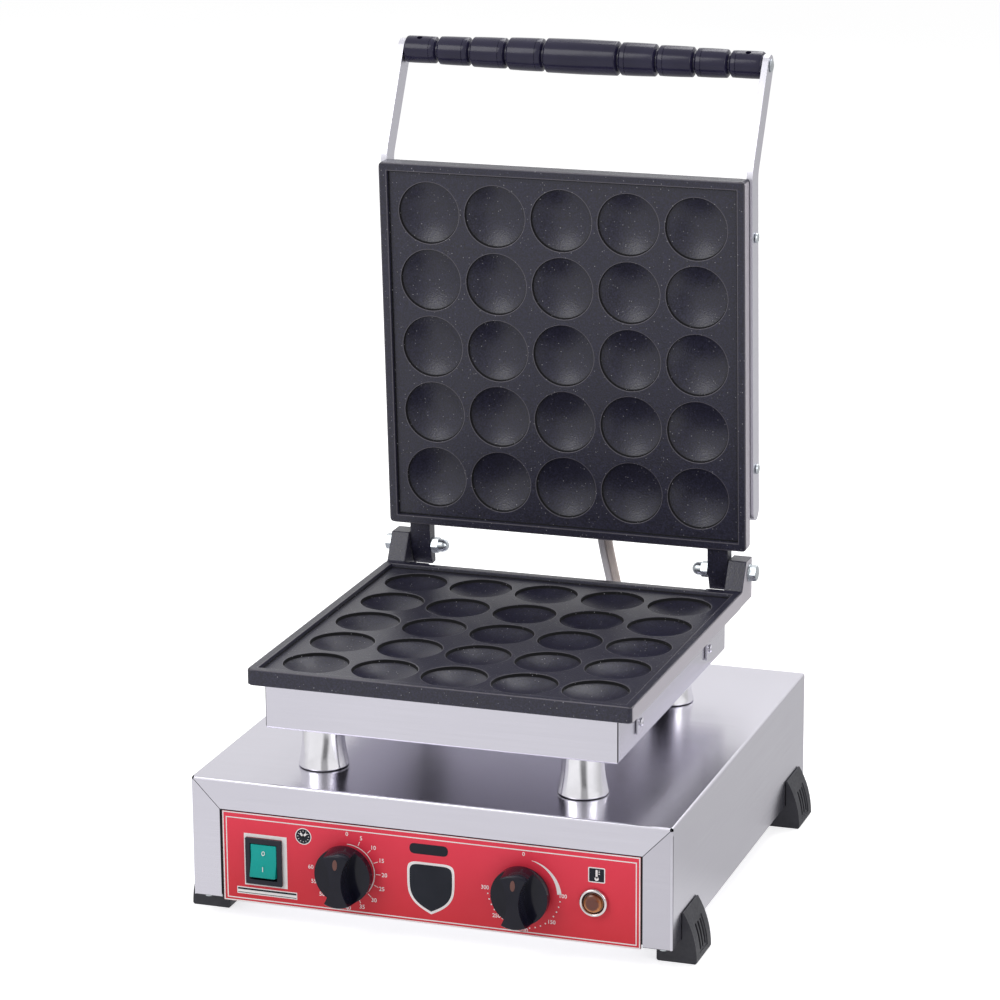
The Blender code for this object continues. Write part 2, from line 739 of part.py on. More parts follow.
def build_feet(rubber, zinc):
    """Four rubber feet, each with the screw that holds it."""
    outline = foot_outline()
    for (name, x, y), sign in zip(foot_screw_places(), (-1, 1, -1, 1)):
        shape = [(sign * px, pz) for px, pz in outline]
        foot = prism(
            f"foot_{name}", shape, "Y", y - FOOT_LENGTH / 2, y + FOOT_LENGTH / 2, material=rubber
        )
        outer = BASE_WIDTH / 2 + FOOT_REACH_OUT
        slots = []
        for i in range(FOOT_SLOT_COUNT):
            slot_y = y + (i - (FOOT_SLOT_COUNT - 1) / 2) * FOOT_SLOT_PITCH
            ends = sorted((sign * (outer - FOOT_SLOT_DEPTH), sign * (outer + OVERRUN)))
            low = (ends[0], slot_y - FOOT_SLOT_WIDTH / 2, FOOT_SLOT_RISE)
            high = (ends[1], slot_y + FOOT_SLOT_WIDTH / 2, FOOT_SLOT_RISE + FOOT_SLOT_HEIGHT)
            slots.append((low, high))
        combine(foot, blocks(f"foot_{name}_slots", slots))
        well = [
            (FOOT_SCREW_HEAD + GAP, -OVERRUN),
            (FOOT_SCREW_HEAD + GAP, FOOT_SCREW_SINK),
            (FOOT_SCREW_SHANK + GAP, FOOT_SCREW_SINK),
            (FOOT_SCREW_SHANK + GAP, FOOT_HEIGHT + OVERRUN),
        ]
        steps = BORE_STEPS
        combine(foot, turned(f"foot_{name}_well", well, (x, y, 0), "Z", steps, smooth=False))
        head_top = FOOT_SCREW_SINK - GAP
        tip = BOX_BOTTOM + 2 * (SHEET + GAP) + SCREW_TAIL
        screw = [
            (FOOT_SCREW_HEAD - GAP, head_top - FOOT_SCREW_HEAD_HEIGHT),
            (FOOT_SCREW_HEAD, head_top - FOOT_SCREW_HEAD_HEIGHT / 2),
            (FOOT_SCREW_HEAD, head_top),
            (FOOT_SCREW_SHANK, head_top),
            (FOOT_SCREW_SHANK, tip),
        ]
        turned(f"foot_screw_{name}", screw, (x, y, 0), "Z", steps, material=zinc)
    for name, x, y in bottom_screw_places():
        head_top = BOX_BOTTOM - GAP
        tip = BOX_BOTTOM + 2 * (SHEET + GAP) + SCREW_TAIL / 2
        screw = [
            (BOTTOM_SCREW_HEAD - 2 * GAP, head_top - BOTTOM_SCREW_HEAD_HEIGHT),
            (BOTTOM_SCREW_HEAD, head_top - BOTTOM_SCREW_HEAD_HEIGHT / 2),
            (BOTTOM_SCREW_HEAD, head_top),
            (BOTTOM_SCREW_SHANK, head_top),
            (BOTTOM_SCREW_SHANK, tip),
        ]
        turned(f"bottom_screw_{name}", screw, (x, y, 0), "Z", BORE_STEPS, material=zinc)


def build_panel(red):
    """Front panel: a raised face in the frame's window, on a wider backing behind the frame."""
    half = PANEL_WIDTH / 2
    window = BASE_WIDTH / 2 - STILE_WIDTH
    backing_front = FRONT_Y + SHEET + GAP
    backing_rear = backing_front + PANEL_BACKING
    panel = block(
        "control_panel",
        (-half, PANEL_Y, BOX_BOTTOM - PANEL_DROP),
        (half, backing_rear, BOX_BOTTOM + PANEL_TOP),
        material=red,
    )
    wide = window + PANEL_OVERLAP_SIDE
    tall = BOX_TOP - RAIL_HEIGHT + PANEL_OVERLAP_TOP
    backing = block(
        "panel_backing",
        (-wide, backing_front, BOX_BOTTOM + SHEET + GAP),
        (wide, backing_rear - GAP / 2, tall),
    )
    combine(panel, backing, "UNION")
    line = BOX_BOTTOM + CONTROL_LINE
    cutout = block(
        "switch_cutout",
        (
            SWITCH_X - SWITCH_BODY_WIDTH / 2 - GAP,
            PANEL_Y - OVERRUN,
            line - SWITCH_BODY_HEIGHT / 2 - GAP,
        ),
        (
            SWITCH_X + SWITCH_BODY_WIDTH / 2 + GAP,
            backing_rear + OVERRUN,
            line + SWITCH_BODY_HEIGHT / 2 + GAP,
        ),
    )
    combine(panel, cutout)
    reach = backing_rear - PANEL_Y + OVERRUN
    rows = [(BUSH_HOLE, (x, PANEL_Y, line), "Y", -OVERRUN, reach) for x in (TIMER_X, THERMOSTAT_X)]
    lamp = (LAMP_X, PANEL_Y, BOX_BOTTOM + LAMP_LINE)
    rows.append((LAMP_BARREL_RADIUS + GAP, lamp, "Y", -OVERRUN, reach))
    combine(panel, rods("panel_holes", rows))
    return backing_rear


def build_switch(black, green):
    """Rocker switch: a fixed body with a pocket, and the rocker that tilts in it."""
    line = BOX_BOTTOM + CONTROL_LINE
    back = PANEL_Y - GAP
    front = back - BEZEL_THICKNESS
    body = block(
        "switch_body",
        (SWITCH_X - BEZEL_WIDTH / 2, front, line - BEZEL_HEIGHT / 2),
        (SWITCH_X + BEZEL_WIDTH / 2, back, line + BEZEL_HEIGHT / 2),
        material=black,
    )
    rear = back + SWITCH_BODY_DEPTH
    half = SWITCH_BODY_WIDTH / 2
    tall = SWITCH_BODY_HEIGHT / 2
    case = block(
        "switch_case", (SWITCH_X - half, back - GAP, line - tall), (SWITCH_X + half, rear, line + tall)
    )
    combine(body, case, "UNION")
    blades = []
    for i in range(BLADE_COUNT):
        z = line + (i - (BLADE_COUNT - 1) / 2) * BLADE_PITCH
        low = (SWITCH_X - BLADE_WIDTH / 2, rear - OVERRUN, z - BLADE_THICKNESS / 2)
        high = (SWITCH_X + BLADE_WIDTH / 2, rear + BLADE_LENGTH, z + BLADE_THICKNESS / 2)
        blades.append((low, high))
    combine(body, blocks("switch_blades", blades), "UNION")
    pocket = block(
        "switch_pocket",
        (SWITCH_X - ROCKER_WIDTH / 2 - GAP, front - OVERRUN, line - POCKET_HEIGHT / 2),
        (SWITCH_X + ROCKER_WIDTH / 2 + GAP, front + POCKET_DEPTH, line + POCKET_HEIGHT / 2),
    )
    combine(body, pocket)

    pivot = turning_point(
        "rocker_pivot", (SWITCH_X, front + ROCKER_PIVOT_DEPTH, line), math.radians(-ROCKER_TILT)
    )
    half = ROCKER_HEIGHT / 2
    outline = [
        (-ROCKER_FACE, -half),
        (-ROCKER_FACE + ROCKER_FACE_DIP, 0.0),
        (-ROCKER_FACE, half),
        (-ROCKER_SHOULDER, half),
        (ROCKER_HEEL, ROCKER_HEEL_HALF),
        (ROCKER_HEEL, -ROCKER_HEEL_HALF),
        (-ROCKER_SHOULDER, -half),
    ]
    wide = ROCKER_WIDTH / 2
    prism("rocker", outline, "X", -wide, wide, material=green, parent=pivot)


def build_knob(name, x, black, steel):
    """A knob with two finger scoops on its shaft, at zero with its bar upright."""
    axis = turning_point(f"{name}_axis", (x, PANEL_Y - KNOB_STANDOFF, BOX_BOTTOM + CONTROL_LINE))
    dome = KNOB_DEPTH - KNOB_DOME
    profile = [
        (KNOB_RADIUS, 0.0),
        (KNOB_RADIUS, KNOB_SKIRT - KNOB_EDGE),
        (KNOB_RADIUS - KNOB_EDGE, KNOB_SKIRT),
        (KNOB_RADIUS - KNOB_EDGE, dome - KNOB_EDGE),
        (KNOB_RADIUS - 2 * KNOB_EDGE, dome),
        (KNOB_RADIUS / 2, KNOB_DEPTH - KNOB_DOME / 4),
        (0.0, KNOB_DEPTH),
    ]
    origin = (0, 0, 0)
    knob = turned(
        f"{name}_knob", profile, origin, "-Y", KNOB_STEPS, material=black, parent=axis
    )
    middle = KNOB_WAIST + KNOB_SCOOP_RADIUS
    rows = [
        (KNOB_SCOOP_RADIUS, (sign * middle, 0, 0), "-Y", KNOB_SKIRT, KNOB_DEPTH + OVERRUN)
        for sign in SIDES.values()
    ]
    scoops = rods(f"{name}_scoops", rows, steps=KNOB_STEPS * 2, parent=axis)
    combine(knob, scoops)
    bore = (SHAFT_RADIUS + GAP, origin, "-Y", -OVERRUN, SHAFT_IN_KNOB + GAP)
    combine(knob, rods(f"{name}_bore", [bore], steps=BORE_STEPS, parent=axis))
    reach = KNOB_STANDOFF + PANEL_BACKING + SHEET + SHAFT_IN_BODY
    shaft = [(SHAFT_RADIUS, -reach), (SHAFT_RADIUS, SHAFT_IN_KNOB)]
    turned(f"{name}_shaft", shaft, origin, "-Y", BORE_STEPS, material=steel, parent=axis)


def build_bodies(panel_rear, cream, black):
    """Clockwork timer and thermostat behind the panel, each with its threaded bush."""
    line = BOX_BOTTOM + CONTROL_LINE
    start = panel_rear + GAP
    half = TIMER_BODY_SIDE / 2
    timer = block(
        "timer_body",
        (TIMER_X - half, start, line - half),
        (TIMER_X + half, start + TIMER_BODY_DEPTH, line + half),
        material=cream,
    )
    depth = THERMOSTAT_BODY_DEPTH
    profile = [(THERMOSTAT_BODY_RADIUS, 0.0), (THERMOSTAT_BODY_RADIUS, depth)]
    place = (THERMOSTAT_X, start, line)
    thermostat = turned("thermostat_body", profile, place, "Y", material=black)
    for name, x, body in (("timer", TIMER_X, timer), ("thermostat", THERMOSTAT_X, thermostat)):
        place = (x, start, line)
        steps = BORE_STEPS
        bush = (BUSH_RADIUS, place, "Y", PANEL_Y - start, OVERRUN)
        combine(body, rods(f"{name}_bush", [bush], steps=steps), "UNION")
        bore = (SHAFT_RADIUS + GAP, place, "Y", PANEL_Y - start - OVERRUN, SHAFT_IN_BODY + GAP)
        combine(body, rods(f"{name}_bush_bore", [bore], steps=steps))


def build_lamp(chrome, amber):
    """Signal lamp: a chrome ring with its barrel, and a domed amber lens."""
    place = (LAMP_X, PANEL_Y, BOX_BOTTOM + LAMP_LINE)
    ring_back = GAP
    ring_front = ring_back + LAMP_RING_THICKNESS
    bore = LAMP_LENS_RADIUS + GAP
    profile = [
        (LAMP_BARREL_RADIUS, -LAMP_BARREL_DEPTH),
        (LAMP_BARREL_RADIUS, ring_back),
        (LAMP_RING_RADIUS, ring_back),
        (LAMP_RING_RADIUS, ring_back + LAMP_RING_THICKNESS / 3),
        ((LAMP_RING_RADIUS + bore) / 2, ring_front),
        (bore, ring_front - LAMP_RING_THICKNESS / 4),
        (bore, ring_front - LAMP_LENS_STEM - GAP),
    ]
    turned("lamp_bezel", profile, place, "-Y", material=chrome)
    base = ring_front - LAMP_LENS_STEM
    rim = ring_front - LAMP_RING_THICKNESS / 4
    dome = [
        (LAMP_LENS_RADIUS * math.cos(angle), rim + LAMP_LENS_DOME * math.sin(angle))
        for angle in [math.pi / 2 * i / 4 for i in range(4)]
    ]
    lens = [(LAMP_LENS_RADIUS, base), *dome, (0.0, rim + LAMP_LENS_DOME)]
    turned("lamp_lens", lens, place, "-Y", material=amber)


def build_posts(aluminium):
    """Four flared posts that carry the pan, each with a spigot at both ends."""
    flare = POST_BASE_RADIUS - POST_TOP_RADIUS
    lip_top = POST_LIP
    wall = []
    for i in range(1, FLARE_STEPS):
        share = i / FLARE_STEPS
        height = lip_top + (POST_HEIGHT - lip_top) * share
        wall.append((POST_TOP_RADIUS + flare * (1 - share) ** 2, height))
    for name, x, y in post_places():
        base = BOX_TOP + GAP
        profile = [
            (SPIGOT_RADIUS, -SPIGOT_LENGTH),
            (SPIGOT_RADIUS, 0.0),
            (POST_BASE_RADIUS, 0.0),
            (POST_BASE_RADIUS, lip_top),
            *wall,
            (POST_TOP_RADIUS, POST_HEIGHT),
            (SPIGOT_RADIUS, POST_HEIGHT),
            (SPIGOT_RADIUS, POST_HEIGHT + SPIGOT_TOP),
        ]
        turned(f"post_{name}", profile, (x, y, base), "Z", material=aluminium)


def pan_rings(half_x, half_y, depth):
    """Rings of an open tray, from its inner floor over the rim and down outside to its folded edge."""
    fold = PAN_FOLD
    eased = fold * FOLD_EASE_SHARE
    return [
        (half_x - PAN_SHEET, half_y - PAN_SHEET, PAN_SHEET),
        (half_x - PAN_SHEET, half_y - PAN_SHEET, depth),
        (half_x, half_y, depth),
        (half_x, half_y, fold),
        (half_x - eased, half_y - eased, eased),
        (half_x - fold, half_y - fold, 0.0),
    ]


def build_pans(steel, parent):
    """The pan under the lower plate and the cover on the lid, with their screw clips."""
    middle = (0, PLATE_Y, PAN_BOTTOM)
    pan = stepped_box(
        "lower_pan", pan_rings(PAN_WIDTH / 2, PAN_LENGTH / 2, PAN_DEPTH), middle, material=steel
    )
    down, up = PAN_BOTTOM - OVERRUN, PAN_BOTTOM + PAN_SHEET + OVERRUN
    rows = [(SPIGOT_RADIUS + GAP, (x, y, 0), "Z", down, up) for _, x, y in post_places()]
    side = PAN_WIDTH / 2
    clip_z = PAN_BOTTOM + PAN_DEPTH / 2
    clips = [(f"{row}_{s}", sign, PLATE_Y + at) for row, at in (("front", -CLIP_Y), ("rear", CLIP_Y))
             for s, sign in SIDES.items()]
    for _, sign, y in clips:
        axis = "X" if sign > 0 else "-X"
        rows.append(
            (CLIP_SCREW_SHANK + GAP, (0, y, clip_z), axis, side - PAN_SHEET - OVERRUN, side + OVERRUN)
        )
    combine(pan, rods("pan_holes", rows, steps=BORE_STEPS))
    for name, sign, y in clips:
        axis = "X" if sign > 0 else "-X"
        seat = side + GAP
        ends = sorted((sign * seat, sign * (seat + CLIP_THICKNESS)))
        clip = block(
            f"pan_clip_{name}",
            (ends[0], y - CLIP_WIDTH / 2, clip_z - CLIP_HEIGHT / 2),
            (ends[1], y + CLIP_WIDTH / 2, PLATE_BOTTOM - GAP),
            material=steel,
        )
        screw = [
            (CLIP_SCREW_SHANK, side - PAN_SHEET - SCREW_TAIL),
            (CLIP_SCREW_SHANK, seat + CLIP_THICKNESS - GAP),
            (CLIP_SCREW_RADIUS, seat + CLIP_THICKNESS - GAP),
            (CLIP_SCREW_RADIUS, seat + CLIP_THICKNESS + CLIP_SCREW_HEIGHT / 2),
            (CLIP_SCREW_RADIUS / 2, seat + CLIP_THICKNESS + CLIP_SCREW_HEIGHT),
        ]
        tool = turned(f"pan_clip_screw_{name}", screw, (0, y, clip_z), axis, BORE_STEPS)
        combine(clip, tool, "UNION")

    cover = stepped_box(
        "upper_cover",
        pan_rings(PAN_WIDTH / 2, COVER_LENGTH / 2, COVER_DEPTH),
        (0, LID_MIDDLE, COVER_TOP),
        flip=True,
        material=steel,
        parent=parent,
    )
    place = lead_lid_place()
    row = (GLAND_BARREL_RADIUS + GAP, place, "Y", -PAN_SHEET - OVERRUN, OVERRUN)
    combine(cover, rods("cover_hole", [row], parent=parent))


def cup_profile():
    """Half outline of a cup, from above the field down the wall and over the round floor."""
    floor = CUP_DEPTH - CUP_WALL
    profile = [(0.0, OVERRUN), (CUP_RADIUS, OVERRUN), (CUP_RADIUS, -CUP_WALL)]
    for i in range(1, CUP_RINGS):
        share = 1 - i / CUP_RINGS
        profile.append((CUP_RADIUS * share, -CUP_WALL - floor * (1 - share**2)))
    profile.append((0.0, -CUP_DEPTH))
    return profile


def add_cups(bm, centre, facing):
    """Add the cups' cutters on their square grid, with the field at centre's height."""
    for row in range(CUP_ROWS):
        for column in range(CUP_COLUMNS):
            across = (column - (CUP_COLUMNS - 1) / 2) * CUP_PITCH
            along = (row - (CUP_ROWS - 1) / 2) * CUP_PITCH
            shift = Vector((across, along, 0))
            add_turned(bm, cup_profile(), Vector(centre) + shift, facing, CUP_SIDES)


def plate_rings(block_half_x, block_half_y):
    """Rings of a cast plate, from its recessed field over the rim to the block that fills its pan."""
    inner_x, inner_y = PLATE_HALF.x - PLATE_RIM, PLATE_HALF.y - PLATE_RIM
    return [
        (inner_x, inner_y, -FIELD_RECESS),
        (inner_x, inner_y, 0.0),
        (PLATE_HALF.x, PLATE_HALF.y, 0.0),
        (PLATE_HALF.x, PLATE_HALF.y, -PLATE_THICKNESS),
        (block_half_x, block_half_y, -PLATE_THICKNESS),
        (block_half_x, block_half_y, -PLATE_THICKNESS - PLATE_BLOCK_DEPTH),
    ]


def build_lower_plate(black_cast):
    """Lower plate with its cups, and two ears that carry the hinge."""
    block_x = PAN_WIDTH / 2 - PAN_SHEET - PLATE_BLOCK_MARGIN
    block_y = PAN_LENGTH / 2 - PAN_SHEET - PLATE_BLOCK_MARGIN
    place = (0, PLATE_Y, PLATE_TOP)
    plate = stepped_box("lower_plate", plate_rings(block_x, block_y), place, material=black_cast)
    ear = [
        (HINGE_Y - EAR_ROOT, PLATE_BOTTOM),
        (HINGE_Y + EAR_BEHIND_AXIS, PLATE_BOTTOM),
        (HINGE_Y + EAR_BEHIND_AXIS, HINGE_Z + EAR_TOP_ABOVE_AXIS - LUG_TAIL_FRONT),
        (HINGE_Y + EAR_BEHIND_AXIS - LUG_TAIL_FRONT, HINGE_Z + EAR_TOP_ABOVE_AXIS),
        (HINGE_Y - EAR_FRONT_AT_TOP, HINGE_Z + EAR_TOP_ABOVE_AXIS),
        (HINGE_Y - EAR_FRONT_AT_PLATE, PLATE_TOP),
        (HINGE_Y - EAR_ROOT, PLATE_TOP - EAR_SIDE_INSET),
    ]
    stop_top = PLATE_BOTTOM + STOP_HEIGHT
    stop = [
        (HINGE_Y - EAR_ROOT, PLATE_BOTTOM),
        (tail_front(PLATE_BOTTOM) - GAP, PLATE_BOTTOM),
        (tail_front(stop_top) - GAP, stop_top),
        (HINGE_Y - EAR_ROOT, stop_top),
    ]
    bm = bmesh.new()
    for sign in SIDES.values():
        add_prism(bm, ear, "X", sign * EAR_INNER_X, sign * EAR_OUTER_X)
    combine(plate, finish_mesh(bm, "lower_plate_ears"), "UNION")
    bm = bmesh.new()
    for sign in SIDES.values():
        add_prism(bm, stop, "X", sign * LUG_INNER_X, sign * LUG_OUTER_X)
    combine(plate, finish_mesh(bm, "lower_plate_stops"), "UNION")
    bm = bmesh.new()
    add_cups(bm, (0, PLATE_Y, PLATE_TOP - FIELD_RECESS), "Z")
    for sign in SIDES.values():
        axis = "X" if sign > 0 else "-X"
        start, end = EAR_INNER_X - OVERRUN, EAR_OUTER_X + OVERRUN
        add_rod(bm, BOLT_RADIUS + GAP, (0, HINGE_Y, HINGE_Z), axis, start, end, BORE_STEPS)
    combine(plate, finish_mesh(bm, "lower_plate_cuts"))


def build_upper_plate(black_cast, parent):
    """Upper plate with its cups, two hinge lugs and four bosses for the arms."""
    block_x = PAN_WIDTH / 2 - PAN_SHEET - PLATE_BLOCK_MARGIN
    block_y = COVER_LENGTH / 2 - PAN_SHEET - PLATE_BLOCK_MARGIN
    place = (0, LID_MIDDLE, LID_FACE)
    plate = stepped_box(
        "upper_plate",
        plate_rings(block_x, block_y),
        place,
        flip=True,
        material=black_cast,
        parent=parent,
    )
    root = -(HINGE_BEHIND_PLATE + LUG_ROOT)
    lug = [
        (root, -LUG_HALF_DEPTH),
        (0.0, -LUG_HALF_DEPTH),
        (LUG_TAIL, -LUG_TAIL_FRONT),
        (LUG_TAIL, LUG_HALF_DEPTH),
        (root, LUG_HALF_DEPTH),
    ]
    bm = bmesh.new()
    for sign in SIDES.values():
        add_prism(bm, lug, "X", sign * LUG_INNER_X, sign * LUG_OUTER_X)
    combine(plate, finish_mesh(bm, "upper_plate_lugs", parent=parent), "UNION")
    bm = bmesh.new()
    inner = PAN_WIDTH / 2 + GAP
    outer = ARM_INNER_X - GAP
    for sign in SIDES.values():
        for along in (ARM_SCREW_LOW, ARM_SCREW_HIGH):
            ends = sorted((sign * inner, sign * outer))
            low = (ends[0], -along - BOSS_HALF_LENGTH, LID_BACK - OVERRUN)
            high = (ends[1], -along + BOSS_HALF_LENGTH, ARM_CENTRE + ARM_WIDTH / 2)
            add_block(bm, low, high)
    combine(plate, finish_mesh(bm, "upper_plate_bosses", parent=parent), "UNION")
    bm = bmesh.new()
    add_cups(bm, (0, LID_MIDDLE, LID_FACE + FIELD_RECESS), "-Z")
    steps = BORE_STEPS
    for sign in SIDES.values():
        axis = "X" if sign > 0 else "-X"
        start, end = LUG_INNER_X - OVERRUN, LUG_OUTER_X + OVERRUN
        add_rod(bm, BOLT_RADIUS + GAP, (0, 0, 0), axis, start, end, steps)
        for along in (ARM_SCREW_LOW, ARM_SCREW_HIGH):
            centre = (0, -along, ARM_CENTRE)
            start = ARM_INNER_X - ARM_SCREW_BITE - GAP
            add_rod(bm, ARM_SCREW_SHANK + GAP, centre, axis, start, ARM_INNER_X, steps)
    combine(plate, finish_mesh(bm, "upper_plate_cuts", parent=parent))


def build_hinge_bolts(zinc):
    """A bolt from outside through each ear and lug, with an acorn nut inside."""
    for side, sign in SIDES.items():
        axis = "X" if sign > 0 else "-X"
        place = Vector((0, HINGE_Y, HINGE_Z))
        head = EAR_OUTER_X + GAP
        seat = LUG_INNER_X - GAP
        bm = bmesh.new()
        corners = hexagon(BOLT_HEAD_FLATS)
        ends = (sign * head, sign * (head + BOLT_HEAD_HEIGHT))
        outline = [(place.y + a, place.z + b) for a, b in corners]
        add_prism(bm, outline, "X", *ends)
        bolt = finish_mesh(bm, f"hinge_bolt_{side}", material=zinc)
        tip = seat - NUT_HEX_HEIGHT
        shank = (BOLT_RADIUS, place, axis, tip, head + GAP)
        combine(bolt, rods(f"hinge_shank_{side}", [shank], steps=BORE_STEPS), "UNION")

        bm = bmesh.new()
        add_prism(bm, outline, "X", sign * seat, sign * (seat - NUT_HEX_HEIGHT))
        nut = finish_mesh(bm, f"acorn_nut_{side}", material=zinc)
        dome_height = NUT_HEIGHT - NUT_HEX_HEIGHT
        inward = "-X" if sign > 0 else "X"
        start = Vector((sign * (seat - NUT_HEX_HEIGHT), place.y, place.z))
        dome = [(NUT_DOME_RADIUS, -NUT_HEX_HEIGHT / 2)]
        for i in range(CURVE_STEPS // 2):
            angle = math.pi / CURVE_STEPS * i
            dome.append((NUT_DOME_RADIUS * math.cos(angle), dome_height * math.sin(angle)))
        dome.append((0.0, dome_height))
        combine(nut, turned(f"nut_dome_{side}", dome, start, inward, BORE_STEPS), "UNION")
        bore = (BOLT_RADIUS + GAP, place, axis, tip - GAP, seat + OVERRUN)
        combine(nut, rods(f"nut_bore_{side}", [bore], steps=BORE_STEPS))


def arm_outline():
    """Side view of an arm in the lid's frame, (y, z): a flat bar, bent back past the plate."""
    half = ARM_WIDTH / 2
    rise = HANDLE_BACK - ARM_CENTRE
    slope = math.atan2(rise, HANDLE_ALONG - ARM_BEND)
    grip_y, grip_z = -HANDLE_ALONG, HANDLE_BACK
    inner = ARM_BEND_RADIUS
    outer = ARM_BEND_RADIUS + ARM_WIDTH
    tangent = (inner + half) * math.tan(slope / 2)
    bend_y = -(ARM_BEND - tangent)
    middle = (bend_y, ARM_CENTRE + half + inner)
    low = arc(middle, outer, -math.pi / 2, -math.pi / 2 - slope, CURVE_STEPS // 2)
    high = arc(middle, inner, -math.pi / 2 - slope, -math.pi / 2, CURVE_STEPS // 2)
    top_end = arc(
        (grip_y, grip_z), half, 1.5 * math.pi - slope, math.pi / 2 - slope, CURVE_STEPS
    )
    foot_end = arc((-ARM_START, ARM_CENTRE), half, math.pi / 2, -math.pi / 2, CURVE_STEPS)
    return [*low, *top_end, *high, *foot_end]


def build_arms(aluminium, zinc, parent):
    """Two flat arms, screwed to the upper plate's bosses, that carry the handle."""
    outline = arm_outline()
    steps = BORE_STEPS
    outer = ARM_INNER_X + ARM_THICKNESS
    for side, sign in SIDES.items():
        axis = "X" if sign > 0 else "-X"
        ends = (sign * ARM_INNER_X, sign * outer)
        arm = prism(f"lid_arm_{side}", outline, "X", *ends, material=aluminium, parent=parent)
        start, end = ARM_INNER_X - OVERRUN, outer + OVERRUN
        handle = (0, -HANDLE_ALONG, HANDLE_BACK)
        rows = [(ROD_RADIUS + GAP, handle, axis, start, end)]
        for along in (ARM_SCREW_LOW, ARM_SCREW_HIGH):
            rows.append((ARM_SCREW_SHANK + GAP, (0, -along, ARM_CENTRE), axis, start, end))
        combine(arm, rods(f"lid_arm_holes_{side}", rows, steps=steps, parent=parent))
        for row, along in (("low", ARM_SCREW_LOW), ("high", ARM_SCREW_HIGH)):
            seat = outer + GAP
            screw = [
                (ARM_SCREW_SHANK, ARM_INNER_X - ARM_SCREW_BITE),
                (ARM_SCREW_SHANK, seat),
                (ARM_SCREW_HEAD, seat),
                (ARM_SCREW_HEAD, seat + ARM_SCREW_HEAD_HEIGHT / 2),
                (ARM_SCREW_HEAD - 2 * GAP, seat + ARM_SCREW_HEAD_HEIGHT),
            ]
            place = (0, -along, ARM_CENTRE)
            name = f"arm_screw_{row}_{side}"
            turned(name, screw, place, axis, steps, material=zinc, parent=parent)


def grip_profile():
    """Half outline of the turned grip: a barrel and four rings each way, with grooves between."""
    end = ARM_INNER_X - GAP
    ends = [share * end for share in GRIP_RING_SHARES] + [end]
    right = []
    for i, (boundary, radius) in enumerate(zip(ends, GRIP_RADII)):
        is_last = boundary == end
        start = ends[i - 1] + GRIP_GROOVE_WIDTH / 2 if i else 0.0
        stop = boundary if is_last else boundary - GRIP_GROOVE_WIDTH / 2
        right += [(radius, start), (radius, stop)]
        if not is_last:
            right.append((radius - GRIP_GROOVE_DEPTH, boundary))
    left = [(radius, -along) for radius, along in reversed(right[1:])]
    return left + right


def build_handle(black, steel, parent):
    """Turned grip between the arms, on a rod whose heads lie outside them."""
    place = Vector((0, -HANDLE_ALONG, HANDLE_BACK))
    grip = turned("handle_grip", grip_profile(), place, "X", ROUND_STEPS, material=black, parent=parent)
    reach = ARM_INNER_X + OVERRUN
    bm = bmesh.new()
    add_rod(bm, GRIP_BORE, place, "X", -reach, reach, BORE_STEPS)
    combine(grip, finish_mesh(bm, "grip_bore", parent=parent))
    end_radius = GRIP_RADII[-1]
    rows = [
        (
            GRIP_PIN_HOLE,
            place + Vector((sign * (ARM_INNER_X - GRIP_PIN_HOLE_INSET), 0, 0)),
            "-Y",
            end_radius - GRIP_PIN_HOLE_DEPTH,
            end_radius + OVERRUN,
        )
        for sign in SIDES.values()
    ]
    combine(grip, rods("grip_pin_holes", rows, steps=CURVE_STEPS, parent=parent))
    seat = ARM_INNER_X + ARM_THICKNESS + GAP
    half = [
        (ROD_RADIUS, seat),
        (ROD_HEAD_RADIUS, seat),
        (ROD_HEAD_RADIUS, seat + ROD_HEAD_HEIGHT / 2),
        (ROD_HEAD_RADIUS - GAP, seat + ROD_HEAD_HEIGHT),
    ]
    profile = [(radius, -along) for radius, along in reversed(half)] + half
    turned("handle_rod", profile, place, "X", BORE_STEPS, material=steel, parent=parent)


def element_points(centre):
    """A heating tube laid in flat runs with round turns."""
    bend = ELEMENT_SPACING / 2
    straight = ELEMENT_HALF_LENGTH - bend
    points = []
    for run in range(ELEMENT_RUNS):
        x = (run - (ELEMENT_RUNS - 1) / 2) * ELEMENT_SPACING
        way = 1 if run % 2 == 0 else -1
        points.append((x, -way * straight))
        points.append((x, way * straight))
        if run < ELEMENT_RUNS - 1:
            turn = arc(
                (x + bend, way * straight), bend, math.pi, math.pi - way * math.pi, ELEMENT_BEND_STEPS
            )
            points += turn[1:-1]
    return [Vector(centre) + Vector((x, y, 0)) for x, y in points]


